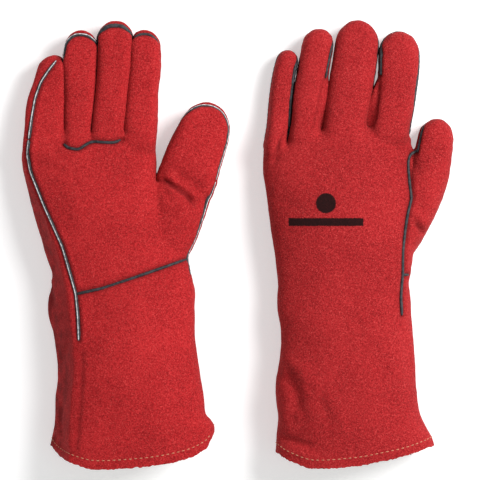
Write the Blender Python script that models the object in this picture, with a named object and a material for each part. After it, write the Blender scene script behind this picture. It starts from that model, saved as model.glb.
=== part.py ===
"""A pair of lined split-leather welding gauntlets, lying side by side on a bench.

The right glove lies palm up and the left glove lies back up, so both thumbs point to +X.
Row frame: +Z up, bench at z = 0, fingertips towards +Y, origin under the middle of the pair.
Lengths in the tables are millimetres; meshes are written in metres.

Each glove is a tube from the hem to the knuckles, with four finger tubes and a thumb tube.
A place on the hand tube is (row, angle): row 0 is the hem, 1 the wrist seam, 2 the knuckles;
angle 0 is the thumb side, 90 the upper face, 180 the little-finger side.
A place on a digit is (s, t): s is the distance from its root, t runs from -1 to 1 across it.
"""

import math

import bpy
from mathutils import Vector

# Driving dimensions
LEATHER = 1.4  # cow split leather
CANVAS = 1.6
FLEECE = 1.2
LINING_INSET = 3.7  # from the leather's outer face to the lining's outer face, in the hand and cuff
DIGIT_LINING_INSET = 2.4
ENTRY_SLOPE = 0.5  # the rise of a finger's lining from its root into the thicker hand
SEAM_HALF = 2.0  # half the gap between two panels, which a welt fills
WELT_HALF = 1.0  # half the width of a welt's visible edge
WELT_PROUD = 0.5  # how far a welt stands out of the leather
EDGE_HALF = 1.5  # half the gap between a digit's front and back at a piped seam
FOURCHETTE_HALF = 7.0  # half the height of a fourchette at the finger's root
FOURCHETTE_START = 38.0  # from the fingertip to the fourchette's point
THREAD = 0.8  # hem thread
HEM_STITCH = 9.0  # hem stitching's distance from the cut edge
SECTION_POWER = 2.3  # superellipse power of the hand's sections
FLAT_SHARE = 0.93  # the share of the half height below which a section lies flat on the bench
LAST_ROW = 2 - SEAM_HALF / 100  # where the panels stop short of the knuckles
CUT_CLEARANCE = 0.5
RING = 8  # points round a digit's lining
KNUCKLE_THICKNESS = 34.0
PAIR_CENTRE = (-1.66, 0.23)
MM = 0.001

# The section's thickness along the glove, as (y, thickness)
HAND_THICKNESS = [(-176, 54), (-100, 51), (-30, 46), (20, 46), (55, 40), (85, KNUCKLE_THICKNESS)]

# Edges are (y, x). Rows are (across, y), where across runs from -1, little-finger side, to 1.
# A digit's line runs from its root to its tip; half is its half width along that line, from 0 to 1.
RIGHT = {
    "name": "right",
    "palm_up": True,
    "little_edge": [(-176, -147), (-145, -145), (-106, -142.5), (-75, -145), (-43, -150), (-25, -147.5),
                    (0, -155), (38, -165), (70, -171.5), (90, -170)],
    "thumb_edge": [(-176, -19), (-145, -20), (-131, -27), (-75, -34), (-37, -35), (-12, -41), (12, -53),
                   (35, -62), (55, -65.5), (90, -65)],
    "hem": [(-1, -154), (-0.8, -169), (-0.4, -175.5), (0.1, -173.5), (0.6, -168), (0.88, -159), (1, -146)],
    "wrist": [(-1, -43), (-0.6, -38), (0.1, -27), (1, -11)],
    "knuckles": [(-1, 71), (-0.3, 76), (0.5, 79), (1, 76)],
    "little_seam": [(-176, -126), (-138, -126), (-90, -122.5), (-60, -125.5), (-35, -128.5), (-11, -135.5),
                    (19, -147.5), (37, -156), (68, -166), (90, -166)],
    "thumb_seam": [(-176, -32), (-60, -46), (-12, -50), (30, -70), (90, -72)],
    "thumb_seam_above": False,
    "welt_rows": (0.73, 0.66),
    "heel": {"line": [(-66, -14), (-57, 4), (-49, 27), (-41.3, 52.5)], "half": [(0, 17), (0.35, 21), (1, 22.6)]},
    "digits": {
        "pinky": {"line": [(-153, 74.5), (-151.6, 107), (-149, 130), (-144.6, 147.5)],
                  "half": [(0, 16), (0.45, 14.4), (0.78, 11.8), (1, 9.8)], "thick": 26},
        "ring": {"line": [(-127, 77.5), (-125.6, 115), (-123.6, 143), (-122.2, 167)],
                 "half": [(0, 9.2), (0.4, 9.5), (0.75, 10.6), (1, 10.2)], "thick": 28},
        "middle": {"line": [(-105, 79.5), (-101.2, 119), (-98.4, 143), (-96.8, 174.5)],
                   "half": [(0, 10.8), (0.4, 11.9), (0.75, 12.5), (1, 12)], "thick": 29},
        "index": {"line": [(-78.2, 79.5), (-75.2, 119), (-72.4, 143), (-73, 167.5)],
                  "half": [(0, 11.8), (0.5, 11.4), (0.8, 10.6), (1, 9.8)], "thick": 28},
        "thumb": {"line": [(-41, 53.5), (-36, 70), (-28.5, 92), (-26, 110)],
                  "half": [(0, 22.6), (0.35, 21.5), (0.75, 19), (1, 17)], "thick": 32},
    },
}

LEFT = {
    "name": "left",
    "palm_up": False,
    "little_edge": [(-176, 27), (-150, 27.5), (-118, 27), (-81, 32), (-50, 29), (-31, 30), (-6, 27),
                    (38, 21), (64, 17), (90, 20)],
    "thumb_edge": [(-176, 153), (-155, 151), (-131, 141), (-93, 137), (-43, 134), (-22, 132), (10, 131),
                   (40, 133.5), (90, 134.5)],
    "hem": [(-1, -156), (-0.8, -167), (-0.5, -175.5), (0.1, -170), (0.6, -163.5), (1, -155.5)],
    "wrist": [(-1, -12), (-0.2, -28), (0.6, -34), (1, -23.5)],
    "knuckles": [(-1, 72.5), (-0.72, 74), (-0.6, 79), (-0.2, 82), (0.35, 84), (1, 81)],
    "little_seam": [(-176, 33), (-60, 35), (0, 33), (50, 25), (90, 26)],
    "thumb_seam": [(-176, 128), (-110, 127), (-55, 126.2), (-41, 125.4), (-24, 126.9), (-9, 126.3), (7, 127.2),
                   (20, 129), (32, 132), (90, 132.2)],
    "thumb_seam_above": True,
    "welt_rows": (0.75, 0.7),
    "heel": {"line": [(113, -12), (122, 4), (137.4, 32), (148.6, 57), (149.9, 65)],
             "half": [(0, 15), (0.3, 17.5), (1, 14.9)]},
    "digits": {
        "pinky": {"line": [(27.2, 76.5), (28.6, 100), (32, 131), (36.8, 151.6)],
                  "half": [(0, 8.2), (0.5, 8.4), (1, 7.8)], "thick": 25},
        "ring": {"line": [(49.8, 83), (51.6, 113), (56.4, 140), (62.8, 168.4)],
                 "half": [(0, 11.6), (0.4, 11.7), (0.7, 11.6), (1, 11.2)], "thick": 28},
        "middle": {"line": [(80.4, 85.5), (84.6, 113), (88.6, 143), (92.4, 175.6)],
                   "half": [(0, 16), (0.4, 16.8), (0.7, 16.4), (1, 15)], "thick": 29},
        "index": {"line": [(116.6, 85.5), (121.8, 113), (124.6, 143), (124.6, 166.6)],
                  "half": [(0, 14.4), (0.4, 14.6), (0.75, 14.6), (1, 13)], "thick": 28},
        "thumb": {"line": [(150.3, 66), (152.2, 78), (155, 97.6)],
                  "half": [(0, 14.9), (0.5, 14.6), (1, 12.8)], "thick": 29},
    },
}

FINGERS = ("pinky", "ring", "middle", "index")
SEAM_SIDES = {"pinky": (-1,), "ring": (), "middle": (), "index": (1,), "thumb": (-1, 1)}

COLOURS = {
    "leather": ((0.46, 0.022, 0.03, 1), 0.95),
    "welt": ((0.09, 0.09, 0.10, 1), 0.8),
    "fleece": ((0.80, 0.77, 0.70, 1), 1.0),
    "canvas": ((0.62, 0.60, 0.54, 1), 0.95),
    "thread": ((0.78, 0.62, 0.36, 1), 0.7),
}


def clear_scene():
    for thing in list(bpy.data.objects):
        bpy.data.objects.remove(thing)


def material(name):
    made = bpy.data.materials.get(name) or bpy.data.materials.new(name)
    made.use_nodes = True
    shader = made.node_tree.nodes["Principled BSDF"]
    colour, roughness = COLOURS[name]
    shader.inputs["Base Color"].default_value = colour
    shader.inputs["Roughness"].default_value = roughness
    shader.inputs["Metallic"].default_value = 0.0
    made.diffuse_color = colour
    return made


def placed(point):
    return Vector((point[0] - PAIR_CENTRE[0], point[1] - PAIR_CENTRE[1], point[2])) * MM


def add_object(name, points, faces, finish, helper=False, origin=(*PAIR_CENTRE, 0.0)):
    """Makes one object from points in millimetres. A helper only cuts or joins other objects."""
    mesh = bpy.data.meshes.new(name)
    mesh.from_pydata([placed(point) - placed(origin) for point in points], [], faces)
    mesh.materials.append(material(finish))
    mesh.shade_smooth()
    mesh.set_sharp_from_angle(angle=math.radians(40))
    thing = bpy.data.objects.new(name, mesh)
    thing.location = placed(origin)
    bpy.context.scene.collection.objects.link(thing)
    if helper:
        thing.hide_render = True
        thing.display_type = "WIRE"
    return thing


def boolean(target, other, operation):
    modifier = target.modifiers.new(f"{operation}_{other.name}".lower(), "BOOLEAN")
    modifier.operation = operation
    modifier.object = other
    modifier.solver = "EXACT"


def curve(points, x):
    """Smooth interpolation through (x, y) points, with a monotone cubic between each pair."""
    if x <= points[0][0]:
        return points[0][1]
    if x >= points[-1][0]:
        return points[-1][1]
    i = max(k for k in range(len(points) - 1) if points[k][0] <= x)

    def slope(k):
        return (points[k + 1][1] - points[k][1]) / (points[k + 1][0] - points[k][0])

    def tangent(k):
        if k in (0, len(points) - 1):
            return slope(min(k, len(points) - 2))
        before, after = slope(k - 1), slope(k)
        return 0.0 if before * after <= 0 else 2 * before * after / (before + after)

    width = points[i + 1][0] - points[i][0]
    f = (x - points[i][0]) / width
    low, high = points[i][1], points[i + 1][1]
    return (low * (1 + 2 * f) * (1 - f) ** 2 + high * f * f * (3 - 2 * f)
            + width * tangent(i) * f * (1 - f) ** 2 - width * tangent(i + 1) * f * f * (1 - f))


def signed_power(value, power):
    return math.copysign(abs(value) ** power, value)


def spread(low, high, count):
    return [low + (high - low) * i / (count - 1) for i in range(count)]


# The hand tube


def row_y(glove, row, across):
    hem, wrist, knuckles = (curve(glove[key], across) for key in ("hem", "wrist", "knuckles"))
    return hem + (wrist - hem) * row if row <= 1 else wrist + (knuckles - wrist) * (row - 1)


def edges_at(glove, y):
    return curve(glove["little_edge"], y), curve(glove["thumb_edge"], y)


def hand_point(glove, row, angle, inset=0.0):
    across = signed_power(math.cos(angle), 2 / SECTION_POWER)
    up = signed_power(math.sin(angle), 2 / SECTION_POWER)
    y = row_y(glove, row, across)
    little, thumb = edges_at(glove, y)
    x = (little + thumb) / 2 + across * ((thumb - little) / 2 - inset)
    top = curve(HAND_THICKNESS, y) - inset
    share = max(0.0, (up + FLAT_SHARE) / (1 + FLAT_SHARE))
    return Vector((x, y, inset + share * (top - inset)))


def seam_angle(glove, seam, row, above=True):
    """The angle at which the row meets a seam given as (y, x), on the upper or the lower face."""
    across = 0.0
    for _ in range(12):
        y = row_y(glove, row, across)
        little, thumb = edges_at(glove, y)
        across = (2 * curve(glove[seam], y) - little - thumb) / (thumb - little)
        across = max(-0.995, min(0.995, across))
    angle = math.acos(signed_power(across, SECTION_POWER / 2))
    return angle if above else -angle


def seam_angles(glove, row):
    """Thumb-side and little-finger-side seams, with the upper face between them."""
    thumb = seam_angle(glove, "thumb_seam", row, glove["thumb_seam_above"])
    little = seam_angle(glove, "little_seam", row, True)
    if not glove["palm_up"]:
        little = 2 * math.pi - little
    return thumb, little


def arc_rate(glove, row, angle):
    step = 0.01
    return (hand_point(glove, row, angle + step) - hand_point(glove, row, angle - step)).length / (2 * step)


def hand_grid(glove, rows, ends, columns, inset):
    """Points of a panel. ends(row) gives its first and last angle, before the seam's half gap is taken off."""
    grid = []
    for row in rows:
        first, last = ends(row)
        first += SEAM_HALF / arc_rate(glove, row, first)
        last -= SEAM_HALF / arc_rate(glove, row, last)
        grid.append([hand_point(glove, row, a, inset) for a in spread(first, last, columns)])
    return grid


def slab(name, outer, inner, finish, wrap=False, **options):
    """A closed sheet between two grids of the same size. With wrap the columns go all the way round."""
    rows, columns = len(outer), len(outer[0])
    points = [p for grid in (outer, inner) for row in grid for p in row]
    half = rows * columns

    def index(layer, i, j):
        return layer * half + i * columns + j % columns

    faces = []
    last = columns if wrap else columns - 1
    for i in range(rows - 1):
        for j in range(last):
            quad = [index(0, i, j), index(0, i, j + 1), index(0, i + 1, j + 1), index(0, i + 1, j)]
            faces.append(quad)
            faces.append([k + half for k in reversed(quad)])
    for j in range(last):
        faces.append([index(0, 0, j + 1), index(0, 0, j), index(1, 0, j), index(1, 0, j + 1)])
        end = rows - 1
        faces.append([index(0, end, j), index(0, end, j + 1), index(1, end, j + 1), index(1, end, j)])
    if not wrap:
        for i in range(rows - 1):
            faces.append([index(0, i, 0), index(0, i + 1, 0), index(1, i + 1, 0), index(1, i, 0)])
            end = columns - 1
            faces.append([index(0, i + 1, end), index(0, i, end), index(1, i, end), index(1, i + 1, end)])
    return face_outwards(add_object(name, points, faces, finish, **options))


def cap(first, count, backwards):
    """Faces across a ring whose points pair off as k and count - k, each pair at one place along it."""
    rungs = [(first + k, first + (count - k) % count) for k in range(count // 2 + 1)]
    faces = []
    for (a, d), (b, c) in zip(rungs, rungs[1:]):
        face = [k for n, k in enumerate((a, b, c, d)) if k not in (a, b, c, d)[:n]]
        faces.append(face[::-1] if backwards else face)
    return faces


def lump(name, rings, finish, helper=True, **options):
    """A closed solid lofted through rings, with a cap of planar strips at each end."""
    count = len(rings[0])
    points = [p for ring in rings for p in ring]
    faces = [[i * count + j, i * count + (j + 1) % count, (i + 1) * count + (j + 1) % count, (i + 1) * count + j]
             for i in range(len(rings) - 1) for j in range(count)]
    faces += cap(0, count, backwards=True) + cap((len(rings) - 1) * count, count, backwards=False)
    return face_outwards(add_object(name, points, faces, finish, helper, **options))


def face_outwards(thing):
    """Turns a closed mesh the right way round, by the sign of its volume."""
    mesh = thing.data
    mesh.calc_loop_triangles()
    volume = 0.0
    for triangle in mesh.loop_triangles:
        a, b, c = (mesh.vertices[k].co for k in triangle.vertices)
        volume += a.dot(b.cross(c))
    if volume < 0:
        mesh.flip_normals()
    return thing


def bar(name, path, normals, half, depth, proud, finish, **options):
    """A strip of rectangular section along a path, from depth inside to proud outside along its normals."""
    rings = []
    for i, point in enumerate(path):
        before, after = path[max(i - 1, 0)], path[min(i + 1, len(path) - 1)]
        side = (after - before).normalized().cross(normals[i]).normalized()
        out = normals[i]
        rings.append([point + side * half + out * proud, point - side * half + out * proud,
                      point - side * half - out * depth, point + side * half - out * depth])
    return lump(name, rings, finish, helper=False, **options)


def hand_normal(glove, row, angle):
    step = 0.02
    around = hand_point(glove, row, angle + step) - hand_point(glove, row, angle - step)
    along = hand_point(glove, row + step, angle) - hand_point(glove, row - step, angle)
    return around.cross(-along).normalized()


def hand_bar(glove, name, places, half, depth, proud, finish):
    path = [hand_point(glove, row, angle) for row, angle in places]
    normals = [hand_normal(glove, row, angle) for row, angle in places]
    return bar(f"{glove['name']}_{name}", path, normals, half, depth, proud, finish)


# The digits


def line_length(line):
    return sum((Vector(b) - Vector(a)).length for a, b in zip(line, line[1:]))


def line_point(line, s):
    """A point and direction of a smooth line through the points, at distance s from its start."""
    stops = [0.0]
    for a, b in zip(line, line[1:]):
        stops.append(stops[-1] + (Vector(b) - Vector(a)).length)
    if s < 0 or s > stops[-1]:
        end, past = (0.0, s) if s < 0 else (stops[-1], s - stops[-1])
        point, direction = line_point(line, end)
        return point + direction * past, direction
    xs = [(d, p[0]) for d, p in zip(stops, line)]
    ys = [(d, p[1]) for d, p in zip(stops, line)]
    step = 0.5
    low, high = max(0.0, s - step), min(stops[-1], s + step)
    ahead = Vector((curve(xs, high) - curve(xs, low), curve(ys, high) - curve(ys, low)))
    return Vector((curve(xs, s), curve(ys, s))), ahead.normalized()


def tip_rounding(digit, s, inset):
    """1 along the digit, falling to 0 on a quarter circle at its tip."""
    length = line_length(digit["line"]) - inset
    radius = curve(digit["half"], 1.0) * 1.15
    past = max(0.0, s - (length - radius)) / radius
    return math.sqrt(max(0.0, 1 - min(1.0, past) ** 2))


def edge_half(name, digit, s, side):
    """Half the height left open at a digit's edge: for a welt, or for a fourchette that widens to the root."""
    if side in SEAM_SIDES[name]:
        return EDGE_HALF
    start = line_length(digit["line"]) - FOURCHETTE_START
    return EDGE_HALF + FOURCHETTE_HALF * max(0.0, 1 - max(s, 0.0) / start)


def digit_point(name, digit, s, t, face, inset=0.0, closed=False):
    """face is 1 for the upper face and -1 for the one on the bench. closed leaves no gap at the edges."""
    centre, ahead = line_point(digit["line"], s)
    rounding = tip_rounding(digit, s, inset)
    share = max(0.0, min(1.0, s / line_length(digit["line"])))
    half = (curve(digit["half"], share) - inset) * rounding
    middle = digit["thick"] / 2
    half_thick = (middle * (1.0 - 0.12 * share) - inset)
    gap = 0.0
    if not closed:
        left, right = (edge_half(name, digit, s, side) for side in (-1, 1))
        gap = left + (right - left) * (t + 1) / 2
        gap = min(gap, half_thick * 0.7)
    bulge = (1 - abs(t) ** 2.6) ** 0.5 if abs(t) < 1 else 0.0
    height = gap + (half_thick - gap) * bulge * (0.35 + 0.65 * rounding if rounding > 0.2 else rounding * 2.4)
    x = centre.x + ahead.y * t * half
    y = centre.y - ahead.x * t * half
    return Vector((x, y, middle + face * height))


def digit_stations(digit, inset, first, body_count, tip_count, last_degrees=85):
    length = line_length(digit["line"]) - inset
    radius = curve(digit["half"], 1.0) * 1.15
    along = spread(first, length - radius, body_count)
    turns = spread(0, math.radians(last_degrees), tip_count + 1)[1:]
    return along + [length - radius + radius * math.sin(a) for a in turns]


def across_values(count):
    return [math.sin(a) for a in spread(-math.pi / 2, math.pi / 2, count)]


def hinge(glove, name):
    """A point on the axis a digit bends about: the crease on its palm side, across the hand at its root."""
    x, y = glove["digits"][name]["line"][0]
    return Vector((x, y, glove["digits"][name]["thick"] if glove["palm_up"] else 0.0))


def digit_panel(glove, name, face, label):
    digit = glove["digits"][name]
    grids = []
    for inset in (0.0, LEATHER):
        stations = digit_stations(digit, inset, SEAM_HALF, 4, 3)
        grids.append([[digit_point(name, digit, s, t, face, inset) for t in across_values(7)] for s in stations])
    slab(f"{glove['name']}_{name}_{label}", grids[0], grids[1], "leather", origin=hinge(glove, name))


def circle(count):
    return [2 * math.pi * k / count for k in range(count)]


def digit_rings(name, digit, inset, first, entry):
    """Closed sections of a digit, for cutting a hollow or joining a lining. Before its root a finger rises
    and narrows, to the share entry, so that it stays inside the hand's rounded corners."""
    rings = [[digit_point(name, digit, s, math.cos(a), 1 if math.sin(a) >= 0 else -1, inset, closed=True)
              for a in circle(RING)] for s in [first] + digit_stations(digit, inset, 3.0, 4, 2, last_degrees=75)]
    if first < 0:
        middle = sum(rings[0], Vector((0, 0, 0))) / RING
        lift = Vector((0, 0, -first * ENTRY_SLOPE))
        rings[0] = [middle + lift + (point - middle) * entry for point in rings[0]]
    return rings


def edge_point(name, digit, s, side, out):
    """A point on the digit's edge at half thickness, moved outwards by out."""
    centre, ahead = line_point(digit["line"], s)
    share = max(0.0, min(1.0, s / line_length(digit["line"])))
    half = curve(digit["half"], share) * tip_rounding(digit, s, 0.0) + out
    return Vector((centre.x + ahead.y * side * half, centre.y - ahead.x * side * half, digit["thick"] / 2))


def digit_welt(glove, name):
    """The welt over the fingertip: down to the root on a seamed side, to the fourchette on the others."""
    digit = glove["digits"][name]
    length = line_length(digit["line"])
    radius = curve(digit["half"], 1.0) * 1.15
    path = []
    for side in (-1, 1):
        low = SEAM_HALF if side in SEAM_SIDES[name] else length - FOURCHETTE_START + 1.0
        along = spread(low, length - radius, 4)
        turns = [length - radius + radius * math.sin(math.radians(a)) for a in (25, 50, 75)]
        points = [edge_point(name, digit, s, side, 0.0) for s in along + turns]
        path += points if side == -1 else points[::-1]
    normals = []
    for i in range(len(path)):
        before, after = path[max(i - 1, 0)], path[min(i + 1, len(path) - 1)]
        run = (after - before).normalized()
        normals.append(Vector((-run.y, run.x, 0)))
    bar(f"{glove['name']}_{name}_welt", path, normals, EDGE_HALF - 0.4, 1.6, WELT_PROUD, "welt",
        origin=hinge(glove, name))


def fourchette(glove, left, right):
    """One strip of leather down the side of one finger, across the crotch and up the next finger's side."""
    a, b = glove["digits"][left], glove["digits"][right]
    clear = 0.5

    def run(name, digit, side):
        low, high = SEAM_HALF, line_length(digit["line"]) - FOURCHETTE_START - 9.0
        stops = spread(high, low, 6)
        return [(edge_point(name, digit, s, side, 0.0), edge_point(name, digit, s, side, -LEATHER),
                 edge_half(name, digit, s, side) - clear) for s in stops]

    down, up = run(left, a, 1), run(right, b, -1)[::-1]
    foot = down[-1][2] - 0.4
    below = []
    for (outer, inner, _), towards in ((down[-1], 1), (up[0], -1)):
        drop = Vector((0, -LEATHER, 0))
        below.append((outer + Vector((0, -0.1, 0)), inner + drop, foot))
    sections = down + [below[0], below[1]] + up
    rings = []
    for outer, inner, high in sections:
        lift = Vector((0, 0, high))
        rings.append([outer - lift, outer + lift, inner + lift, inner - lift])
    lump(f"{glove['name']}_{left}_{right}_fourchette", rings, "leather", helper=False)


# Parts of one glove


def hand_lump(glove, object_name, rows, inset, count=20):
    rings = [[hand_point(glove, row, angle, inset) for angle in circle(count)] for row in rows]
    return lump(object_name, rings, "fleece")


def heel_rings(glove, inset, first, last, count, stations=7):
    """Sections of the thumb's heel, which grows out of the hand's side up to the thumb's hinge."""
    heel = glove["heel"]
    thick = glove["digits"]["thumb"]["thick"]
    length = line_length(heel["line"])
    rings = []
    for s in spread(first, length + last, stations):
        centre, ahead = line_point(heel["line"], s)
        half = curve(heel["half"], max(0, s / length)) - inset
        ring = []
        for angle in circle(count):
            t, up = signed_power(math.cos(angle), 0.87), signed_power(math.sin(angle), 0.87)
            ring.append(Vector((centre.x + ahead.y * t * half, centre.y - ahead.x * t * half,
                                thick / 2 + up * (thick / 2 - inset))))
        rings.append(ring)
    return rings


def hand_panels(glove):
    """Back panel, palm panel and cuff panel, cut to let the thumb's heel through."""
    name, palm_up = glove["name"], glove["palm_up"]
    gap = 2 - LAST_ROW

    def upper(row):
        thumb, little = seam_angles(glove, row)
        return thumb, little

    def lower(row):
        thumb, little = seam_angles(glove, row)
        return little, thumb + 2 * math.pi

    palm_ends, back_ends = (upper, lower) if palm_up else (lower, upper)
    whole, cuff, palm = spread(0, LAST_ROW, 11), spread(0, 1 - gap, 6), spread(1 + gap, LAST_ROW, 6)
    panels = {}
    for label, rows, ends in (("back_panel", whole, back_ends), ("cuff_panel", cuff, palm_ends),
                              ("palm_panel", palm, palm_ends)):
        grids = [hand_grid(glove, rows, ends, 12, inset) for inset in (0.0, LEATHER)]
        panels[label] = slab(f"{name}_{label}", grids[0], grids[1], "leather")
    heel = slab(f"{name}_thumb_heel", heel_rings(glove, 0.0, 0, 0, 14), heel_rings(glove, LEATHER, 0, 0, 14),
                "leather", wrap=True)
    heel_cutter = lump(f"{name}_heel_cutter", heel_rings(glove, -CUT_CLEARANCE, -6, 8, 14), "leather")
    hand_cutter = hand_lump(glove, f"{name}_hand_cutter", spread(0.6, 2.05, 8), -CUT_CLEARANCE)
    boolean(heel, hand_cutter, "DIFFERENCE")
    for label in ("back_panel", "palm_panel"):
        boolean(panels[label], heel_cutter, "DIFFERENCE")
    return heel_cutter


def hand_welts(glove, heel_cutter):
    """The piped seams of the hand and cuff."""
    little_end, thumb_end = (1 - share * 0.5 for share in glove["welt_rows"])

    def along(seam_index, low, high):
        between = [row for row in spread(0, LAST_ROW, 11) if low + 0.03 < row < high - 0.03]
        return [(row, seam_angles(glove, row)[seam_index]) for row in (low, *between, high)]

    hand_bar(glove, "little_side_welt", along(1, little_end, LAST_ROW), WELT_HALF, LEATHER, WELT_PROUD, "welt")
    hand_bar(glove, "thumb_side_welt", along(0, thumb_end, 0.96 if glove["palm_up"] else 1.28),
             WELT_HALF, LEATHER, WELT_PROUD, "welt")
    thumb, little = seam_angles(glove, 1.0)
    first, last = (thumb, little) if glove["palm_up"] else (little, thumb + 2 * math.pi)
    margin = 0.07
    wrist = [(1.0, a) for a in spread(first + margin, last - margin, 15)]
    proud = WELT_PROUD if glove["palm_up"] else 0.0
    welt = hand_bar(glove, "wrist_welt", wrist, WELT_HALF, LEATHER, proud, "welt")
    boolean(welt, heel_cutter, "DIFFERENCE")


def finger_root_welt(glove):
    """The piped seam where the middle and ring fingers' fronts are set into the palm."""
    ring, middle = glove["digits"]["ring"], glove["digits"]["middle"]
    low_x = ring["line"][0][0] - ring["half"][0][1] + 1.5
    high_x = middle["line"][0][0] + middle["half"][0][1] - 1.5
    places = []
    for x in spread(low_x, high_x, 6):
        little, thumb = edges_at(glove, 78)
        across = (2 * x - little - thumb) / (thumb - little)
        angle = math.acos(signed_power(across, SECTION_POWER / 2))
        places.append((2.0, angle if glove["palm_up"] else -angle))
    proud = 0.2 if glove["palm_up"] else 0.0
    if not glove["palm_up"]:
        places.reverse()
    hand_bar(glove, "finger_root_welt", places, WELT_HALF - 0.2, LEATHER, proud, "welt")


def heel_welt(glove):
    """The piped seam along the heel's outer edge, from the thumb's hinge down to the wrist seam."""
    heel = glove["heel"]
    length = line_length(heel["line"])
    path, normals = [], []
    for s in spread(length * 0.45, length - 1.0, 6):
        centre, ahead = line_point(heel["line"], s)
        half = curve(heel["half"], s / length)
        out = Vector((ahead.y, -ahead.x, 0))
        path.append(Vector((centre.x, centre.y, glove["digits"]["thumb"]["thick"] / 2)) + out * half)
        normals.append(out)
    bar(f"{glove['name']}_thumb_heel_welt", path, normals, WELT_HALF, -0.4, 0.4 + 1.4, "welt")


def cuff_lining(glove):
    rows = spread(0.02, 0.96, 6)
    grids = [[[hand_point(glove, row, angle, inset) for angle in circle(24)] for row in rows]
             for inset in (LINING_INSET, LINING_INSET + CANVAS)]
    slab(f"{glove['name']}_cuff_lining", grids[0], grids[1], "canvas", wrap=True)


def lining_solids(glove, label, inset, reach, entry):
    """The five digits of the lining as helper solids that reach into the hand's own solid."""
    name, digits = glove["name"], glove["digits"]
    rings = {finger: digit_rings(finger, digits[finger], inset, -reach, entry) for finger in FINGERS}
    rings["thumb"] = (heel_rings(glove, inset, reach - 4, -1, RING, 5)
                      + digit_rings("thumb", digits["thumb"], inset, 2.0, 1.0))
    return [lump(f"{name}_{digit}_{label}", each, "fleece") for digit, each in rings.items()]


def fleece_lining(glove):
    """The fleece inner glove: a sock for the hand with five digits, hollowed by the same shapes set in."""
    name = glove["name"]
    rows = spread(1.0, 1.95, 5)
    lining = hand_lump(glove, f"{name}_fleece_lining", rows, LINING_INSET, 18)
    lining.hide_render = False
    lining.display_type = "TEXTURED"
    for solid in lining_solids(glove, "lining", DIGIT_LINING_INSET, 12.0, 0.55):
        boolean(lining, solid, "UNION")
    hollow_rows = [0.94] + rows[1:-1] + [1.93]
    boolean(lining, hand_lump(glove, f"{name}_hand_hollow", hollow_rows, LINING_INSET + FLEECE, 18), "DIFFERENCE")
    for solid in lining_solids(glove, "hollow", DIGIT_LINING_INSET + FLEECE, 15.0, 0.35):
        boolean(lining, solid, "DIFFERENCE")


def hem_thread(glove):
    """The stitching that holds the canvas to the cuff, on the part of the hem that is clear of the bench."""
    row = HEM_STITCH / 125
    places = [(row, a) for a in spread(math.radians(-38), math.radians(218), 30)]
    hand_bar(glove, "hem_thread", places, THREAD / 2, -THREAD, 2 * THREAD, "thread")


def build_glove(glove):
    front, back = (1, -1) if glove["palm_up"] else (-1, 1)
    heel_cutter = hand_panels(glove)
    for digit in (*FINGERS, "thumb"):
        digit_panel(glove, digit, front, "front")
        digit_panel(glove, digit, back, "back")
        digit_welt(glove, digit)
    for left, right in zip(FINGERS, FINGERS[1:]):
        fourchette(glove, left, right)
    hand_welts(glove, heel_cutter)
    finger_root_welt(glove)
    heel_welt(glove)
    cuff_lining(glove)
    fleece_lining(glove)
    hem_thread(glove)


clear_scene()
for each in (RIGHT, LEFT):
    build_glove(each)
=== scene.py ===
"""Final shapes and materials of a pair of red split-leather welding gauntlets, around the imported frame.

Each glove starts as overlapping tubes: hand, thumb heel and five digits. They are moved apart at the
fingers, joined by a voxel remesh, cut at the hem and at each digit's root, and moved back. Seam grooves,
folds and creases are then pressed into that surface, and it is split into the glove's leather pieces.
Tables are in millimetres, in the same layout as part.py: PAIR_CENTRE is the row frame's origin.
"""

import math

import bmesh
import bpy
import numpy as np
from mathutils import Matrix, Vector, noise
from mathutils.bvhtree import BVHTree
from mathutils.kdtree import KDTree


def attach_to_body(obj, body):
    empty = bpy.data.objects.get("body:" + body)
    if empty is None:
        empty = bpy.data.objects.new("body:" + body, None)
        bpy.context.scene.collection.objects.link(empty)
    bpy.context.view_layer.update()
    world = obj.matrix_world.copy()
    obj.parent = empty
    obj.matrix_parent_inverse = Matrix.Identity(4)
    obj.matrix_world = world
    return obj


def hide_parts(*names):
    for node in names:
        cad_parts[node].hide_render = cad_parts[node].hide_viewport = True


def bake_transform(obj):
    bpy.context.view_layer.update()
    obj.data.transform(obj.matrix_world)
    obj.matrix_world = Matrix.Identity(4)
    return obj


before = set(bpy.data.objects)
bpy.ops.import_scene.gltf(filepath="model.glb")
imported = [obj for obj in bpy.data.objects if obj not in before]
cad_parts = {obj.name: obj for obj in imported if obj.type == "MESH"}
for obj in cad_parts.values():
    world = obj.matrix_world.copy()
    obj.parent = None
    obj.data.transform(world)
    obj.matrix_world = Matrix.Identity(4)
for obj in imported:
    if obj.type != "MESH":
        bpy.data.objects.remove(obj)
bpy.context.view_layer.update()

MM = 0.001
PAIR_CENTRE = np.array([-1.66, 0.23, 0.0])
VOXEL = 1.45  # the size of the remesh's cells
LEATHER, CANVAS, FLEECE = 1.4, 1.2, 1.6  # how thick each sheet is
FLEECE_INSETS = (3.4, 4.6)  # of a digit's lining, under the leather's outside
LINING_GAP = 0.15  # between the leather and its lining
LINING_JOIN = -18.0  # canvas below this height, fleece above it
SECTION_POWER = 2.3  # of the hand's rounded section; 2 is an ellipse
FLAT_SHARE = 0.93  # how far down the section goes before it lies flat
HEM_BASE, HEM_FADE, HEM_HEIGHT = -165.0, -60.0, -150.0
APART_FADE = 14  # over this height the digits go from touching to moved apart
DEEPEST = 6.0  # of all grooves and folds together
GROOVE, LIP = 1.25, 0.5  # how deep a seam lies and how high the leather rises beside it
CUFF_FOLD = 0.45  # of a seam's depth
PUCKER, PUCKER_PITCH = 0.14, 8.5  # of the puckers along a seam
ROLL_DROP = 0.58  # how far the palm-up glove slopes down to its little-finger side
SEAM_STEP = 1.2  # between the points of a seam
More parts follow.
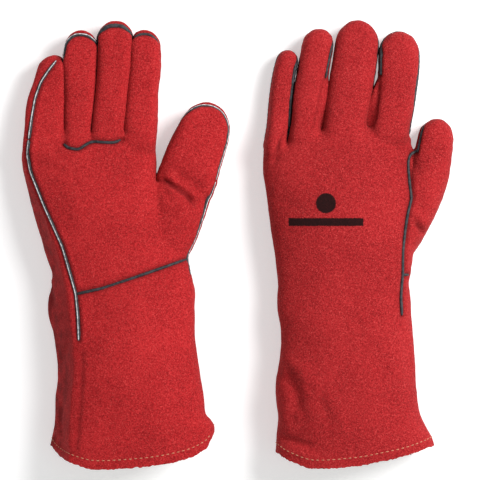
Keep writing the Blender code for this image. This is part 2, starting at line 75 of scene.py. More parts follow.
PIPE, THICK_PIPE, CORDED_PIPE, CORD = 1.15, 1.75, 1.4, 0.42  # radii
THICK_PIPES = (("right", "middle"), ("left", "index"), ("left", "pinky"))
HIGHLIGHT_CORDS = ("little_side", "pinky", "ring", "thumb", "thumb_heel")  # the right glove's pipings with a pale cord as painted highlight
STITCH, STITCH_PITCH, STITCH_ABOVE_HEM = 2.7, 4.2, 7.0
ROOT_THICKNESS = 34.5  # of a finger where it leaves the hand
HAND_THICKNESS = [(-176, 54), (-100, 51), (-30, 46), (20, 46), (55, 40), (85, 34)]

# Edges and seams down a glove are (y, x). The hem, wrist and knuckles are (across, y), with across from -1
# at the little finger's side to 1 at the thumb's. A digit's half widths are (share of its length, width).
# apart: how far a digit is moved, and from what height. roots: where a finger's own leather starts.
# swell: how much wider a digit's root is. nudge: how far a digit is moved towards the thumb.

RIGHT = {
    "name": "right", "palm_up": True,
    "little_edge": [(-176, -149.5), (-160, -149), (-150, -147.5), (-140, -145.2), (-118, -144.5),
        (-106, -142.9), (-87, -144.3), (-68, -146.4), (-50, -150.4), (-40, -150.2), (-25, -148), (0, -155),
        (38, -165), (70, -171.5), (90, -170)],
    "thumb_edge": [(-176, -19), (-150, -19), (-143, -19), (-137, -21.5), (-131, -26.6), (-118, -27.8),
        (-106, -29.8), (-87, -33), (-68, -35), (-50, -35), (-37, -35.1), (-25, -37.8), (-12, -40.5),
        (12, -53), (35, -62), (55, -65.5), (90, -65)],
    "hem": [(-1, -157.5), (-0.95, -161.7), (-0.8, -167.6), (-0.4, -174.1), (0.1, -172.2), (0.6, -166.9),
        (0.88, -158.8), (1, -146)],
    "wrist": [(-1, -43), (-0.6, -38), (0.1, -27), (1, -11)],
    "knuckles": [(-1, 71), (-0.3, 76), (0.5, 79), (1, 76)],
    "little_seam": [(-176, -126), (-138, -126), (-90, -122.5), (-60, -125.5), (-35, -128.5), (-11, -135.5),
        (19, -147.5), (37, -156), (68, -166), (90, -166)],
    "thumb_seam": [(-176, -32), (-60, -46), (-12, -50), (30, -70), (90, -72)],
    "heel": {"line": [(-66, -14), (-57, 4), (-49, 27), (-41.3, 52.5)],
        "half": [(0, 17), (0.35, 21), (1, 22.6)]},
    "digits": {
        "pinky": {"line": [(-153, 74.5), (-151.4, 107), (-148.2, 130), (-143.4, 147.5)],
            "half": [(0, 16.6), (0.45, 15.3), (0.78, 12), (1, 9.6)], "thick": 26},
        "ring": {"line": [(-127, 77.5), (-125.2, 115), (-124.8, 143), (-123.2, 167.6)],
            "half": [(0, 9.4), (0.4, 11.4), (0.75, 13.3), (1, 12.4)], "thick": 28},
        "middle": {"line": [(-104.2, 79.5), (-100.2, 119), (-98.2, 143), (-97, 175)],
            "half": [(0, 12.2), (0.4, 12.3), (0.75, 13.6), (1, 14.2)], "thick": 29},
        "index": {"line": [(-78.4, 79.5), (-76.4, 119), (-74.6, 143), (-75.2, 167.5)],
            "half": [(0, 12.8), (0.5, 11.9), (0.8, 11.5), (1, 10.8)], "thick": 28},
        "thumb": {"line": [(-41, 53.5), (-35.6, 70), (-27.6, 92), (-25.4, 110.8)],
            "half": [(0, 22.6), (0.35, 21.5), (0.75, 19), (1, 17)], "thick": 32},
    },
    "apart": {"pinky": (-9, 82), "ring": (-3, 82), "middle": (3, 82), "index": (9, 82), "thumb": (18, 46.5)},
    "roots": {"pinky": 82, "ring": 84.5, "middle": 85.5, "index": 85.5},
    "swell": {"pinky": 0.6, "ring": 0.6, "middle": 0.8, "index": 0.2, "thumb": 0.2},
    "nudge": {"pinky": 0.6, "ring": 0.0, "middle": 0.0, "index": 0.0, "thumb": 0.2},
}

LEFT = {
    "name": "left", "palm_up": False,
    "little_edge": [(-176, 27.5), (-150, 28.2), (-135, 29), (-118, 27.5), (-106, 28.1), (-87, 31.2),
        (-68, 31.4), (-50, 29.2), (-31, 30), (-6, 27), (38, 21), (64, 17.8), (90, 20.8)],
    "thumb_edge": [(-176, 153), (-156, 151.5), (-150, 149.8), (-143, 146), (-131, 140.4), (-118, 138.3),
        (-93, 136.4), (-43, 133.6), (-31, 132.4), (-18, 134.4), (-6, 135), (10, 132.4), (40, 133.5),
        (90, 134.5)],
    "hem": [(-1, -161.3), (-0.85, -167.2), (-0.5, -173.8), (0, -171.5), (0.38, -167.2), (0.6, -164.3),
        (1, -156.6)],
    "wrist": [(-1, -12), (-0.2, -28), (0.6, -34), (1, -23.5)],
    "knuckles": [(-1, 72.5), (-0.72, 74), (-0.6, 79), (-0.2, 82), (0.35, 84), (1, 81)],
    "little_seam": [(-176, 33), (-60, 35), (0, 33), (50, 25), (90, 26)],
    "thumb_seam": [(-176, 128), (-110, 127), (-55, 126.2), (-41, 125.4), (-24, 126.9), (-9, 126.3),
        (7, 127.2), (20, 129), (32, 132), (90, 132.2)],
    "heel": {"line": [(112.4, -11), (122.4, 5), (138.4, 32), (148.4, 57), (149.9, 65)],
        "half": [(0, 15), (0.3, 17.4), (1, 14.2)]},
    "digits": {
        "pinky": {"line": [(27.2, 76.5), (28.6, 100), (32, 131), (36.8, 151.6)],
            "half": [(0, 8.2), (0.5, 8.4), (1, 7.8)], "thick": 25},
        "ring": {"line": [(49.8, 83), (51.6, 113), (56.4, 140), (62.8, 168.4)],
            "half": [(0, 11.6), (0.4, 11.7), (0.7, 11.6), (1, 11.2)], "thick": 28},
        "middle": {"line": [(80.4, 85.5), (84.6, 113), (89.2, 143), (93.6, 175.4)],
            "half": [(0, 16), (0.4, 16.8), (0.7, 16.8), (1, 16.2)], "thick": 29},
        "index": {"line": [(116.6, 85.5), (121.8, 113), (124.6, 143), (124.6, 166.6)],
            "half": [(0, 14.4), (0.4, 14.7), (0.75, 15.4), (1, 14)], "thick": 28},
        "thumb": {"line": [(150.2, 66), (152.2, 78), (155.6, 98)],
            "half": [(0, 14.2), (0.5, 13.5), (1, 10.6)], "thick": 29},
    },
    "apart": {"pinky": (-9, 74), "ring": (-4, 84), "middle": (2, 84), "index": (8, 84), "thumb": (16, 74)},
    "roots": {"pinky": 82, "ring": 88, "middle": 90, "index": 90},
    "swell": {"pinky": 0.4, "ring": 0.7, "middle": 0.4, "index": 0.4, "thumb": 0.2},
    "nudge": {"pinky": 2.2, "ring": 1.4, "middle": 0.6, "index": -0.4, "thumb": 0.0},
}

FINGERS = ("pinky", "ring", "middle", "index")
DIGITS = FINGERS + ("thumb",)


# Curves and lines


def unit(vectors):
    return vectors / np.linalg.norm(vectors, axis=-1, keepdims=True)


def curve(points, x):
    """Smooth interpolation through (x, y) points, with a monotone cubic between each pair."""
    px, py = np.array(points, float).T
    x = np.clip(np.asarray(x, float), px[0], px[-1])
    slope = np.diff(py) / np.diff(px)
    tangent = np.zeros(len(px))
    tangent[0], tangent[-1] = slope[0], slope[-1]
    for k in range(1, len(slope)):
        if slope[k - 1] * slope[k] > 0:
            tangent[k] = 2 * slope[k - 1] * slope[k] / (slope[k - 1] + slope[k])
    i = np.clip(np.searchsorted(px, x, "right") - 1, 0, len(px) - 2)
    width = px[i + 1] - px[i]
    f = (x - px[i]) / width
    return (py[i] * (1 + 2 * f) * (1 - f) ** 2 + py[i + 1] * f * f * (3 - 2 * f)
            + width * tangent[i] * f * (1 - f) ** 2 - width * tangent[i + 1] * f * f * (1 - f))


def signed_power(value, power):
    return np.sign(value) * np.abs(value) ** power


def smoothstep(x):
    x = np.clip(x, 0, 1)
    return x * x * (3 - 2 * x)


def stops_of(line):
    """The distance along a line at each of its points."""
    points = np.array(line, float)
    return np.concatenate([[0], np.cumsum(np.linalg.norm(np.diff(points, axis=0), axis=1))])


def line_at(line, s):
    """Points and unit directions at distances s along a smooth line, going straight on past its ends."""
    stops = stops_of(line)
    s = np.asarray(s, float)
    inside = np.clip(s, 0, stops[-1])
    axes = [[(d, p[k]) for d, p in zip(stops, line)] for k in (0, 1)]
    low, high = np.clip(inside - 0.5, 0, stops[-1]), np.clip(inside + 0.5, 0, stops[-1])
    ahead = unit(np.stack([curve(axis, high) - curve(axis, low) for axis in axes], -1))
    point = np.stack([curve(axis, inside) for axis in axes], -1)
    return point + ahead * (s - inside)[..., None], ahead


def distance_along(digit, y):
    """About how far along its line a digit reaches height y, and the line's length."""
    line = np.array(digit["line"], float)
    length = stops_of(line)[-1]
    return (y - line[0, 1]) / (line[-1, 1] - line[0, 1]) * length, length


def row_y(glove, row, across):
    """The height of a row: 0 is the hem, 1 the wrist and 2 the knuckles."""
    hem, wrist, knuckles = (curve(glove[key], across) for key in ("hem", "wrist", "knuckles"))
    return hem + (wrist - hem) * row if row <= 1 else wrist + (knuckles - wrist) * (row - 1)


def edges_at(glove, y):
    return curve(glove["little_edge"], y), curve(glove["thumb_edge"], y)


def across_at(glove, x, y):
    little, thumb = edges_at(glove, y)
    return np.clip((2 * x - little - thumb) / (thumb - little), -1, 1)


# The tubes


def wall(rows, around, first=0):
    """The quads between the rings of a tube whose points start at first."""
    return [(a + j, a + (j + 1) % around, a + around + (j + 1) % around, a + around + j)
            for a in range(first, first + (rows - 1) * around, around) for j in range(around)]


def tube(rings):
    """Points and faces of a closed tube through rings of the same size, fanned at both ends."""
    rings = np.array(rings)
    count, around = rings.shape[:2]
    points = np.concatenate([rings.reshape(-1, 3), rings[0].mean(0)[None], rings[-1].mean(0)[None]])
    faces = wall(count, around)
    first, last = count * around, count * around + 1
    for j in range(around):
        k = (j + 1) % around
        faces += [(first, k, j), (last, (count - 1) * around + j, (count - 1) * around + k)]
    return points, faces


def circle(count):
    return np.arange(count) * 2 * math.pi / count


def section(count, power):
    """The across and up shares round a section whose corners a power below 1 fills."""
    return signed_power(np.cos(circle(count)), power), signed_power(np.sin(circle(count)), power)


def ring(centre, ahead, offset, z):
    """Points at height z, offset to the right of a centre line."""
    return np.stack([centre[0] + ahead[1] * offset, centre[1] - ahead[0] * offset, z], -1)


def rounding(past):
    """The share of its width that a rounded end keeps, with past from 0 at its start to 1 at its tip."""
    return math.sqrt(max(0.0, 1 - max(0.0, past) ** 2))


def stations(first, end, radius, straight, turns, degrees):
    """Distances along a tube that is straight from first to end, and rounded past it."""
    return [*np.linspace(first, end, straight),
            *(end + radius * np.sin(np.linspace(0, math.radians(degrees), turns)[1:]))]


def hand_tube(glove):
    """The hand and the cuff, from below the hem to the knuckles."""
    across, up = section(96, 2 / SECTION_POWER)
    last, tip = 1.96, 0.113  # the row where the rounded end starts, and how many rows it takes
    rings = []
    for row in list(np.linspace(-0.08, last, 90)) + [2.0, 2.03, 2.05, 2.065, 2.072]:
        y = row_y(glove, row, across)
        little, thumb = edges_at(glove, y)
        shrink = rounding((row - last) / tip)
        x = (little + thumb) / 2 + across * ((thumb - little) / 2 - 4 * (1 - shrink))
        share = np.maximum(0, (up + FLAT_SHARE) / (1 + FLAT_SHARE))
        z = curve(HAND_THICKNESS, y) * (0.42 + (share - 0.42) * (0.25 + 0.75 * shrink))
        rings.append(np.stack([x, y, z], -1))
    return tube(rings)


def heel_tube(glove):
    """The thumb's heel, from the wrist to the thumb's root."""
    heel, thick = glove["heel"], glove["digits"]["thumb"]["thick"]
    length = stops_of(heel["line"])[-1]
    t, up = section(48, 0.87)
    rings = []
    for s in np.linspace(-4, length + 6, 26):
        centre, ahead = line_at(heel["line"], s)
        share = max(0.0, s / length)
        height = thick / 2 + 2.5 * (1 - min(share, 1)) + 1.5 * math.sin(math.pi * min(1, share))
        rings.append(ring(centre, ahead, t * curve(heel["half"], share), height * (1 + up)))
    return tube(rings)


def digit_radius(digit):
    return float(curve(digit["half"], 1.0)) * 1.15


def digit_tube(glove, name):
    """A finger or the thumb, from inside the hand to its rounded tip."""
    digit = glove["digits"][name]
    length, radius, thumb = stops_of(digit["line"])[-1], digit_radius(digit), name == "thumb"
    rings = []
    for s in stations(-10 if thumb else -18, length - radius, radius, 34, 12, 88):
        centre, ahead = line_at(digit["line"], s)
        rounded = rounding((s - (length - radius)) / radius)
        share = np.clip(s / length, 0, 1)
        centre = centre + np.array([glove["nudge"][name] * smoothstep(s / 20), 0.0])
        half = (curve(digit["half"], share) + glove["swell"][name] * (1 - 0.75 * share ** 2)) * rounded
        root = 0.0 if thumb else 1 - float(smoothstep((s + 4) / 42))
        inside = 0.0 if thumb else float(smoothstep(-s / 18))  # the hand hides this end
        half = half * (1 - 0.4 * inside)
        squareness = ((1.7 if glove["palm_up"] else 0.6) + 0.8 * root) * (1 - inside)
        t, lift = section(64, 2 / (SECTION_POWER + squareness))
        thick = digit["thick"] * (1 - 0.12 * share)
        low = digit["thick"] * 0.06 * share
        thick, low = thick + (ROOT_THICKNESS * (1 - 0.25 * inside) - thick) * root, low * (1 - root)
        height = thick / 2 * (0.2 + 0.8 * rounded ** 0.8)
        rings.append(ring(centre, ahead, t * half, low + thick / 2 + lift * height))
    return tube(rings)


# Moving the fingers apart, so that they don't grow together, and back


def intervals(glove, y):
    """Each digit's edges across the glove at y, with how far it is moved, little finger first."""
    found = []
    for name in DIGITS:
        digit = glove["digits"][name]
        s, length = distance_along(digit, y)
        centre = line_at(digit["line"], s)[0][..., 0]
        half = curve(digit["half"], np.clip(s / length, 0, 1)) + 1.0
        found.append((centre - half, centre + half, apart(glove, name, y)))
    return found


def apart(glove, name, y):
    """How far a digit is moved at height y."""
    amount, start = glove["apart"].get(name, (0.0, 0.0))
    return amount * smoothstep((y - start) / APART_FADE)


def moved_apart(glove, name, points):
    points = points.copy()
    points[:, 0] += apart(glove, "thumb" if name == "heel" else name, points[:, 1])
    return points


def moved_back(glove, points):
    points = points.copy()
    x, y = points[:, 0], points[:, 1]
    spans = intervals(glove, y)
    shift = spans[0][2].copy()
    for (_, left, before), (right, _, after) in zip(spans, spans[1:]):
        a, b = left + before, right + after
        middle = (a + b) / 2
        half = np.maximum(0.25 * (b - a), 0.4)
        blend = smoothstep((x - middle + half) / (2 * half))
        shift = shift + (after - before) * blend
    points[:, 0] = x - shift
    return points


def hem_offset(glove, points):
    """How far the hem's curve lies above HEM_BASE at each point's place across the cuff."""
    return curve(glove["hem"], across_at(glove, points[:, 0], HEM_HEIGHT)) - HEM_BASE


def with_cuff_at(points, y):
    """The points with those of the cuff moved to heights y."""
    points = points.copy()
    points[:, 1] = np.where(points[:, 1] < HEM_FADE, y, points[:, 1])
    return points


def straightened(glove, points):
    """The points with the hem pulled straight, so that one plane cuts it."""
    offset, span = hem_offset(glove, points), HEM_FADE - HEM_BASE
    return with_cuff_at(points, (points[:, 1] - offset * HEM_FADE / span) / (1 - offset / span))


def curved_back(glove, points):
    y = points[:, 1]
    return with_cuff_at(points, y + hem_offset(glove, points) * (HEM_FADE - y) / (HEM_FADE - HEM_BASE))


def remeshed(points, faces):
    mesh = bpy.data.meshes.new("tubes")
    mesh.from_pydata(points.tolist(), [], faces)
    thing = bpy.data.objects.new("tubes", mesh)
    bpy.context.scene.collection.objects.link(thing)
    modifier = thing.modifiers.new("voxels", "REMESH")
    modifier.mode = "VOXEL"
    modifier.voxel_size = VOXEL
    graph = bpy.context.evaluated_depsgraph_get()
    made = bpy.data.meshes.new_from_object(thing.evaluated_get(graph))
    bpy.data.objects.remove(thing)
    bpy.data.meshes.remove(mesh)
    return made


def cut(bm, where, place, direction, clear=False):
    """Cuts the faces for which where(centre) holds by a plane. clear removes what lies in front of it."""
    faces = [f for f in bm.faces if where(f.calc_center_median())]
    edges = {e for f in faces for e in f.edges}
    points = {v for f in faces for v in f.verts}
    bmesh.ops.bisect_plane(bm, geom=list(points) + list(edges) + faces, plane_co=place, plane_no=direction,
                           clear_outer=clear, dist=1e-4)


def digit_root(glove, name):
    """A point and direction of the plane where a digit's own leather starts."""
    line = glove["digits"][name]["line"]
    if name == "thumb":
        return line_at(line, 3.0)
    x = float(line_at(line, 0.0)[0][0])
    return np.array([x, glove["roots"][name]]), np.array([0.0, 1.0])


def base_surface(glove):
    """The glove's outer surface: points and faces, open at the hem."""
    parts = [("hand", hand_tube(glove)), ("heel", heel_tube(glove))]
    parts += [(name, digit_tube(glove, name)) for name in DIGITS]
    points, faces, count = [], [], 0
    for name, (own, own_faces) in parts:
        own = straightened(glove, moved_apart(glove, name, own))
        points.append(own)
        faces += [tuple(k + count for k in face) for face in own_faces]
        count += len(own)
    made = remeshed(np.concatenate(points), faces)
    bm = bmesh.new()
    bm.from_mesh(made)
    bpy.data.meshes.remove(made)
    cut(bm, lambda c: c.y < HEM_BASE + 4, (0, HEM_BASE, 0), (0, -1, 0), clear=True)
    stray = [v for v in bm.verts if v.co.y < HEM_BASE - 1e-3]
    bmesh.ops.delete(bm, geom=stray, context="VERTS")
    for name in DIGITS:
        place, ahead = digit_root(glove, name)
        low, high, shift = (float(v) for v in intervals(glove, place[1])[DIGITS.index(name)])
        depth, span = 4, (low - 2.5 - place[0], high + 2.5 - place[0])
        if name == "thumb":
            half = float(curve(glove["digits"][name]["half"], 0)) + 4
            depth, span = 5, (-half, half)

        def near(c):
            x, y = c.x - shift - place[0], c.y - place[1]
            return (abs(x * ahead[0] + y * ahead[1]) < depth
                    and span[0] < x * ahead[1] - y * ahead[0] < span[1])

        cut(bm, near, (place[0] + shift, place[1], 0), (*ahead, 0))
    bmesh.ops.dissolve_degenerate(bm, dist=0.02, edges=bm.edges[:])
    bmesh.ops.triangulate(bm, faces=[f for f in bm.faces if len(f.verts) > 4])
    bm.verts.index_update()
    points = np.array([v.co[:] for v in bm.verts])
    faces = [tuple(v.index for v in f.verts) for f in bm.faces]
    bm.free()
    centres = np.array([points[list(face)].mean(0) for face in faces])
    labels = digit_labels(glove, centres)
    points = curved_back(glove, points)
    return moved_back(glove, points), faces, labels


def digit_labels(glove, centres):
    """For places in the moved-apart shape: the index in DIGITS, or -1 on the hand."""
    x, y = centres[:, 0], centres[:, 1]
    spans = intervals(glove, y)
    nearest = np.zeros(len(centres), int)
    for k, ((_, left, before), (right, _, after)) in enumerate(zip(spans, spans[1:])):
        nearest[x > (left + before + right + after) / 2] = k + 1
    labels = np.full(len(centres), -1)
    for k, name in enumerate(DIGITS):
        place, ahead = digit_root(glove, name)
        beyond = (x - spans[k][2] - place[0]) * ahead[0] + (y - place[1]) * ahead[1] > 0
        labels[(nearest == k) & beyond & (y > place[1] - 20)] = k
    return labels


class Surface:
    """A mesh of a glove in millimetres, with the sums that its steps share."""

    def __init__(self, points, faces):
        self.points, self.faces = points, faces
        self.quads = np.array([f if len(f) == 4 else (*f, f[2]) for f in faces])
        pairs = np.concatenate([self.quads[:, [k, (k + 1) % 4]] for k in range(4)])
        pairs = np.sort(pairs[pairs[:, 0] != pairs[:, 1]], axis=1)
        self.edges, uses = np.unique(pairs, axis=0, return_counts=True)
        rim = self.edges[uses == 1]
        self.on_rim = np.zeros(len(points), bool)
        self.on_rim[rim.ravel()] = True
        keep = ~(self.on_rim[self.edges[:, 0]] | self.on_rim[self.edges[:, 1]])
        self.links = np.concatenate([self.edges[keep], rim])
        self.one_way = self.edges[~keep]

    def neighbour_mean(self, values):
        """The mean over each point's neighbours. Rim points see only the rim."""
        total, count = np.zeros_like(values), np.zeros(len(values))
        for a, b in ((0, 1), (1, 0)):
            np.add.at(total, self.links[:, a], values[self.links[:, b]])
            np.add.at(count, self.links[:, a], 1)
            here = ~self.on_rim[self.one_way[:, a]]
            np.add.at(total, self.one_way[here, a], values[self.one_way[here, b]])
            np.add.at(count, self.one_way[here, a], 1)
        count = np.maximum(count, 1)
        return total / (count[:, None] if values.ndim > 1 else count)

    def smooth(self, rounds, factors, where=1.0):
        """Moves each point towards its neighbours' mean, by each factor in turn."""
        for _ in range(rounds):
            for factor in factors:
                step = (self.neighbour_mean(self.points) - self.points) * factor
                self.points = self.points + step * where

    def normals(self):
        p = self.points[self.quads]
        face = np.cross(p[:, 2] - p[:, 0], p[:, 3] - p[:, 1])
        flat = np.linalg.norm(face, axis=1) < 1e-9
        face[flat] = np.cross(p[flat, 1] - p[flat, 0], p[flat, 2] - p[flat, 0])
        total = np.zeros_like(self.points)
        for k in range(4):
            np.add.at(total, self.quads[:, k], face)
        return total / np.maximum(np.linalg.norm(total, axis=1, keepdims=True), 1e-12)

    def tree(self):
        return BVHTree.FromPolygons(self.points.tolist(), self.faces)

    def centres(self):
        return self.points[self.quads].mean(1)

    def measure_room(self, normals):
        """How far each point can move inwards before it meets the glove's other side."""
        tree = self.tree()
        self.room = np.full(len(self.points), 60.0)
        for k, (point, normal) in enumerate(zip(self.points, normals)):
            distance = tree.ray_cast(Vector(point - normal * 0.3), Vector(-normal), 60)[3]
            if distance is not None:
                self.room[k] = distance + 0.3
        around = self.neighbour_mean(self.room)
        self.room = np.where(self.room < 0.5 * around, around, self.room)  # a fold's own face doesn't count


# Seams: routes pressed on the surface. Each is a list of (point, normal), about 1.2 mm apart


def interpolated(values, stops, wanted):
    return np.stack([np.interp(wanted, stops, values[:, k]) for k in range(values.shape[1])], -1)


def resampled(points):
    points, stops = np.array(points, float), stops_of(points)
    return interpolated(points, stops, np.linspace(0, stops[-1], max(2, int(stops[-1] / SEAM_STEP) + 1)))


def hits(tree, start, way, reach=200.0):
    """A list of the (point, normal) where a ray meets the surface, which is empty if it doesn't."""
    place, normal, _, _ = tree.ray_cast(Vector(start), Vector(way), reach)
    return [] if place is None else [(np.array(place), np.array(normal))]


def pressed(tree, route, from_above=True):
    """The route, as (x, y) points, on the upper or the lower face."""
    height, way = (90, -1) if from_above else (-20, 1)
    return [hit for x, y in resampled(route) for hit in hits(tree, (x, y, height), (0, 0, way))]


def round_digit(tree, glove, name, heights, left_low, right_low):
    """Up a digit's left side, round its tip and down the right side. heights are the shares of the
    thickness at the left side, the tip and the right side; the lows are distances from the root."""
    digit = glove["digits"][name]
    length, radius = stops_of(digit["line"])[-1], digit_radius(digit)
    end = length - radius
    low = min(heights[0], 0.5) if glove["palm_up"] else heights[0]
    places = [(s, -90, low + (heights[0] - low) * smoothstep((s - end + 20) / 16))
              for s in np.arange(left_low, end, SEAM_STEP)]
    for turn in np.arange(-90, 91, 6):
        side = heights[0] if turn < 0 else heights[2]
        places.append((end, turn, heights[1] + (side - heights[1]) * smoothstep((abs(turn) - 45) / 45)))
    places += [(s, 90, heights[2]) for s in np.arange(right_low, end, SEAM_STEP)[::-1]]
    found = []
    for s, turn, height in places:
        centre, ahead = line_at(digit["line"], s)
        side = np.array([ahead[1], -ahead[0]])
        way = ahead * math.cos(math.radians(turn)) + side * math.sin(math.radians(turn))
        thick = digit["thick"] * (1 - 0.06 * s / length)
        found += hits(tree, (*centre, thick * height), (*way, 0), radius * 2.4)
    return found


def smooth_route(route, rounds=6):
    points, normals = (np.array(values) for values in zip(*route))
    for _ in range(rounds):
        for values in (points, normals):
            values[1:-1] = (values[:-2] + 2 * values[1:-1] + values[2:]) / 4
    return points, unit(normals)


# The shares of each digit's thickness where its seam runs: left side, tip and right side
SEAM_HEIGHTS = {
    "right": {"pinky": (0.6, 0.7, 0.5), "ring": (0.84, 0.88, 0.5), "middle": (0.6, 0.88, 0.6),
              "index": (0.5, 0.88, 0.62), "thumb": (0.66, 0.8, 0.78)},
    "left": {"pinky": (0.35, 0.42, 0.78), "ring": (0.4, 0.42, 0.8), "middle": (0.45, 0.42, 0.62),
             "index": (0.8, 0.42, 0.58), "thumb": (0.8, 0.42, 0.4)},
}
# How far from its root each digit's piping starts, on the left and on the right
SEAM_STARTS = {
    "right": {"ring": (14, 14), "middle": (14, 14), "index": (14, 14), "thumb": (4, 4)},
    "left": {"pinky": (4, 4), "ring": (48, 50), "middle": (50, 42), "index": (46, 4), "thumb": (4, 4)},
}
HEEL_SEAM = {"right": 0.78, "left": 0.4}
PINKY_SEAM = [(80, -164.8), (100, -162.4), (114.5, -160), (127, -155.4), (136.5, -149), (144.6, -142.6)]
# Seams as (whether it is on the upper face, (x, y) points)
SEAM_LINES = {
    "right": {
        "little_side": (True, [
            (-125.1, -74.2), (-125.9, -55.7), (-127.7, -37.8), (-131.9, -23.4), (-138, -2), (-146.3, 16.4),
            (-152.3, 29.6), (-158.2, 44), (-163.6, 57), (-166, 70), (-164.6, 81.5)]),
        "wrist": (True, [(-127.1, -38.3), (-108, -34.2), (-84, -26.3), (-60.1, -18), (-41.6, -11.4)]),
        "finger_root": (True, [(-137.1, 78.5), (-135.1, 75.7), (-125.6, 73.8), (-119.8, 78), (-115.8, 80.5),
                               (-106.8, 79.6), (-97.4, 79.2), (-92.9, 81.6)]),
        "cuff_fold": (True, [(-122.3, -84), (-123.6, -120), (-126.6, -158)]),
        "thumb_side": (False, [(-70, 78), (-69, 60), (-66, 40), (-56, 14), (-47, -8)]),
        "pinky": (True, [(-164.6, 82.5), (-162.4, 100), (-160, 114.5), (-155.4, 127), (-149, 136.5),
                         (-142.6, 144.6)]),
    },
    "left": {
        "little_side": (False, [(float(curve(LEFT["little_seam"], y)) + 1, y) for y in range(-74, 81, 5)]),
        "thumb_side": (True, [
            (126.2, -55), (125.4, -40), (126.9, -23.4), (126.9, -6.6), (128.6, 11), (130.4, 23.6),
            (133.4, 35.6), (132.2, 47.5), (131.6, 64), (132.6, 69), (134.4, 71.4), (136.8, 72.8),
            (139, 75)]),
        "wrist": (True, [(126.9, -23.6), (129.5, -23.6), (131.8, -23.6)]),
        "finger_root": (False, [(37.5, 78.5), (46, 78), (57, 82), (66, 83.5), (80, 82.5), (98, 84)]),
        "cuff_fold": (False, [(36, -84), (36, -120), (36, -158)]),
    },
}
WRIST_BELOW = [(132, -23.4), (115, -33), (90, -34), (60, -28), (37, -18)]


def seam_routes(glove, tree):
    """Every seam of a glove by name, as (points, normals)."""
    side = glove["name"]
    routes = {name: pressed(tree, line, above) for name, (above, line) in SEAM_LINES[side].items()}
    for name, starts in SEAM_STARTS[side].items():
        routes[name] = round_digit(tree, glove, name, SEAM_HEIGHTS[side][name], *starts)
    routes["thumb_heel"] = heel_edge(tree, glove, HEEL_SEAM[side])
    if glove["palm_up"]:
        routes["pinky"] += round_digit(tree, glove, "pinky", (0.6, 0.5, 0.42), 62, 46)[18:]
    else:
        routes["wrist_below"] = pressed(tree, WRIST_BELOW, False)
    return {name: smooth_route(route) for name, route in routes.items() if len(route) > 4}


def heel_edge(tree, glove, height):
    """Down the thumb heel's outer edge, from the thumb's root to the wrist."""
    line, thick = glove["heel"]["line"], glove["digits"]["thumb"]["thick"]
    found = []
    for s in np.arange(stops_of(line)[-1] + 3, 4, -SEAM_STEP):
        centre, ahead = line_at(line, s)
        found += hits(tree, (*centre, thick * height), (ahead[1], -ahead[0], 0), 40)
    return found


# Relief: grooves, folds and creases pressed into the leather

# Folds of the upper face are (points, depth, half width); a negative depth is a ridge
RIGHT_FOLDS = [
    ([(-64, 50), (-58, 48.5), (-50.6, 45.2), (-42, 39.5), (-34, 29.6)], 4.6, 2.4),
    ([(-56, 54), (-49, 52), (-40, 46), (-33, 37)], 3.6, 7.5),
    ([(-62, 46), (-57, 40), (-51, 31)], 1.5, 2.4),
    ([(-70, 42), (-58, 34), (-46, 22)], -1.2, 7.0),
    ([(-164, 62), (-150, 60), (-132, 56)], 1.1, 5.0),
    ([(-96, 66), (-84, 62), (-72, 66)], 1.0, 3.4),
    ([(-130, 60), (-112, 54), (-92, 50), (-74, 53)], -0.9, 8.0),
    ([(-150, 22), (-128, 10), (-106, 6)], 0.8, 7.0),
    ([(-134, 24), (-110, 26), (-84, 20)], -0.8, 9.0),
    ([(-112, -55), (-90, -66), (-66, -64), (-46, -70)], 0.9, 7.0),
    ([(-116, -92), (-92, -88), (-64, -92)], 0.7, 6.0),
    ([(-104, -150), (-99, -128), (-101, -104)], 0.9, 6.0),
    ([(-72, -152), (-66, -130), (-60, -104)], -0.9, 9.0),
    ([(-142, -6), (-150, -30), (-146, -52)], 1.6, 5.0),
    ([(-146, -98), (-138, -88), (-132, -76)], 1.1, 3.6),
    ([(-148, -150), (-139, -158), (-128, -163)], 1.6, 3.6),
    ([(-139, -120), (-141, -138), (-138, -152)], 1.3, 4.0),
]
LEFT_FOLDS = [
    ([(33, -98), (38, -106), (43, -116), (45, -134)], 3.2, 6.5),
    ([(29, -88), (38, -92), (48, -98), (55, -112)], -1.5, 6.5),
    ([(58, -114), (64, -124), (70, -136), (74, -147)], 1.5, 4.8),
    ([(64, -112), (71, -126), (76, -140)], -0.8, 6.0),
    ([(27, -150), (38, -151.5), (50, -155.5), (60, -158)], 2.4, 3.2),
    ([(30, -158), (44, -161), (58, -165)], -1.2, 4.0),
    ([(134.5, 21), (138.5, 15), (145, 7)], 3.6, 2.6),
    ([(133, 38), (138, 30), (143, 22)], 1.1, 3.4),
    ([(140, 46), (146, 40), (151, 31)], -0.8, 4.5),
    ([(26.5, 68), (29.5, 74), (33, 81), (35, 88)], 3.6, 2.6),
    ([(22, 62), (28, 67), (30, 74)], 1.3, 4.0),
    ([(30, -6), (52, -14), (80, -16)], 0.8, 8.0),
    ([(60, -34), (84, -40), (112, -34)], 0.9, 8.0),
    ([(36, -60), (60, -66), (92, -62)], -1.0, 10.0),
    ([(100, -84), (112, -104), (118, -132)], 0.8, 7.0),
    ([(84, -80), (96, -110), (98, -140)], -0.9, 9.0),
    ([(34, 44), (52, 52), (76, 54)], -0.7, 9.0),
    ([(96, 40), (112, 46), (124, 60)], 0.7, 8.0),
    ([(66.8, 133), (63.2, 118), (59.4, 103), (55.4, 89)], 1.9, 1.25),
    ([(108.6, 131), (107.8, 118), (106.2, 104), (103.6, 91)], 1.9, 1.25),
    ([(27, 42), (38, 32), (52, 28)], 0.9, 6.0),
    ([(124, -60), (130, -80), (131, -104)], 1.0, 4.0),
]


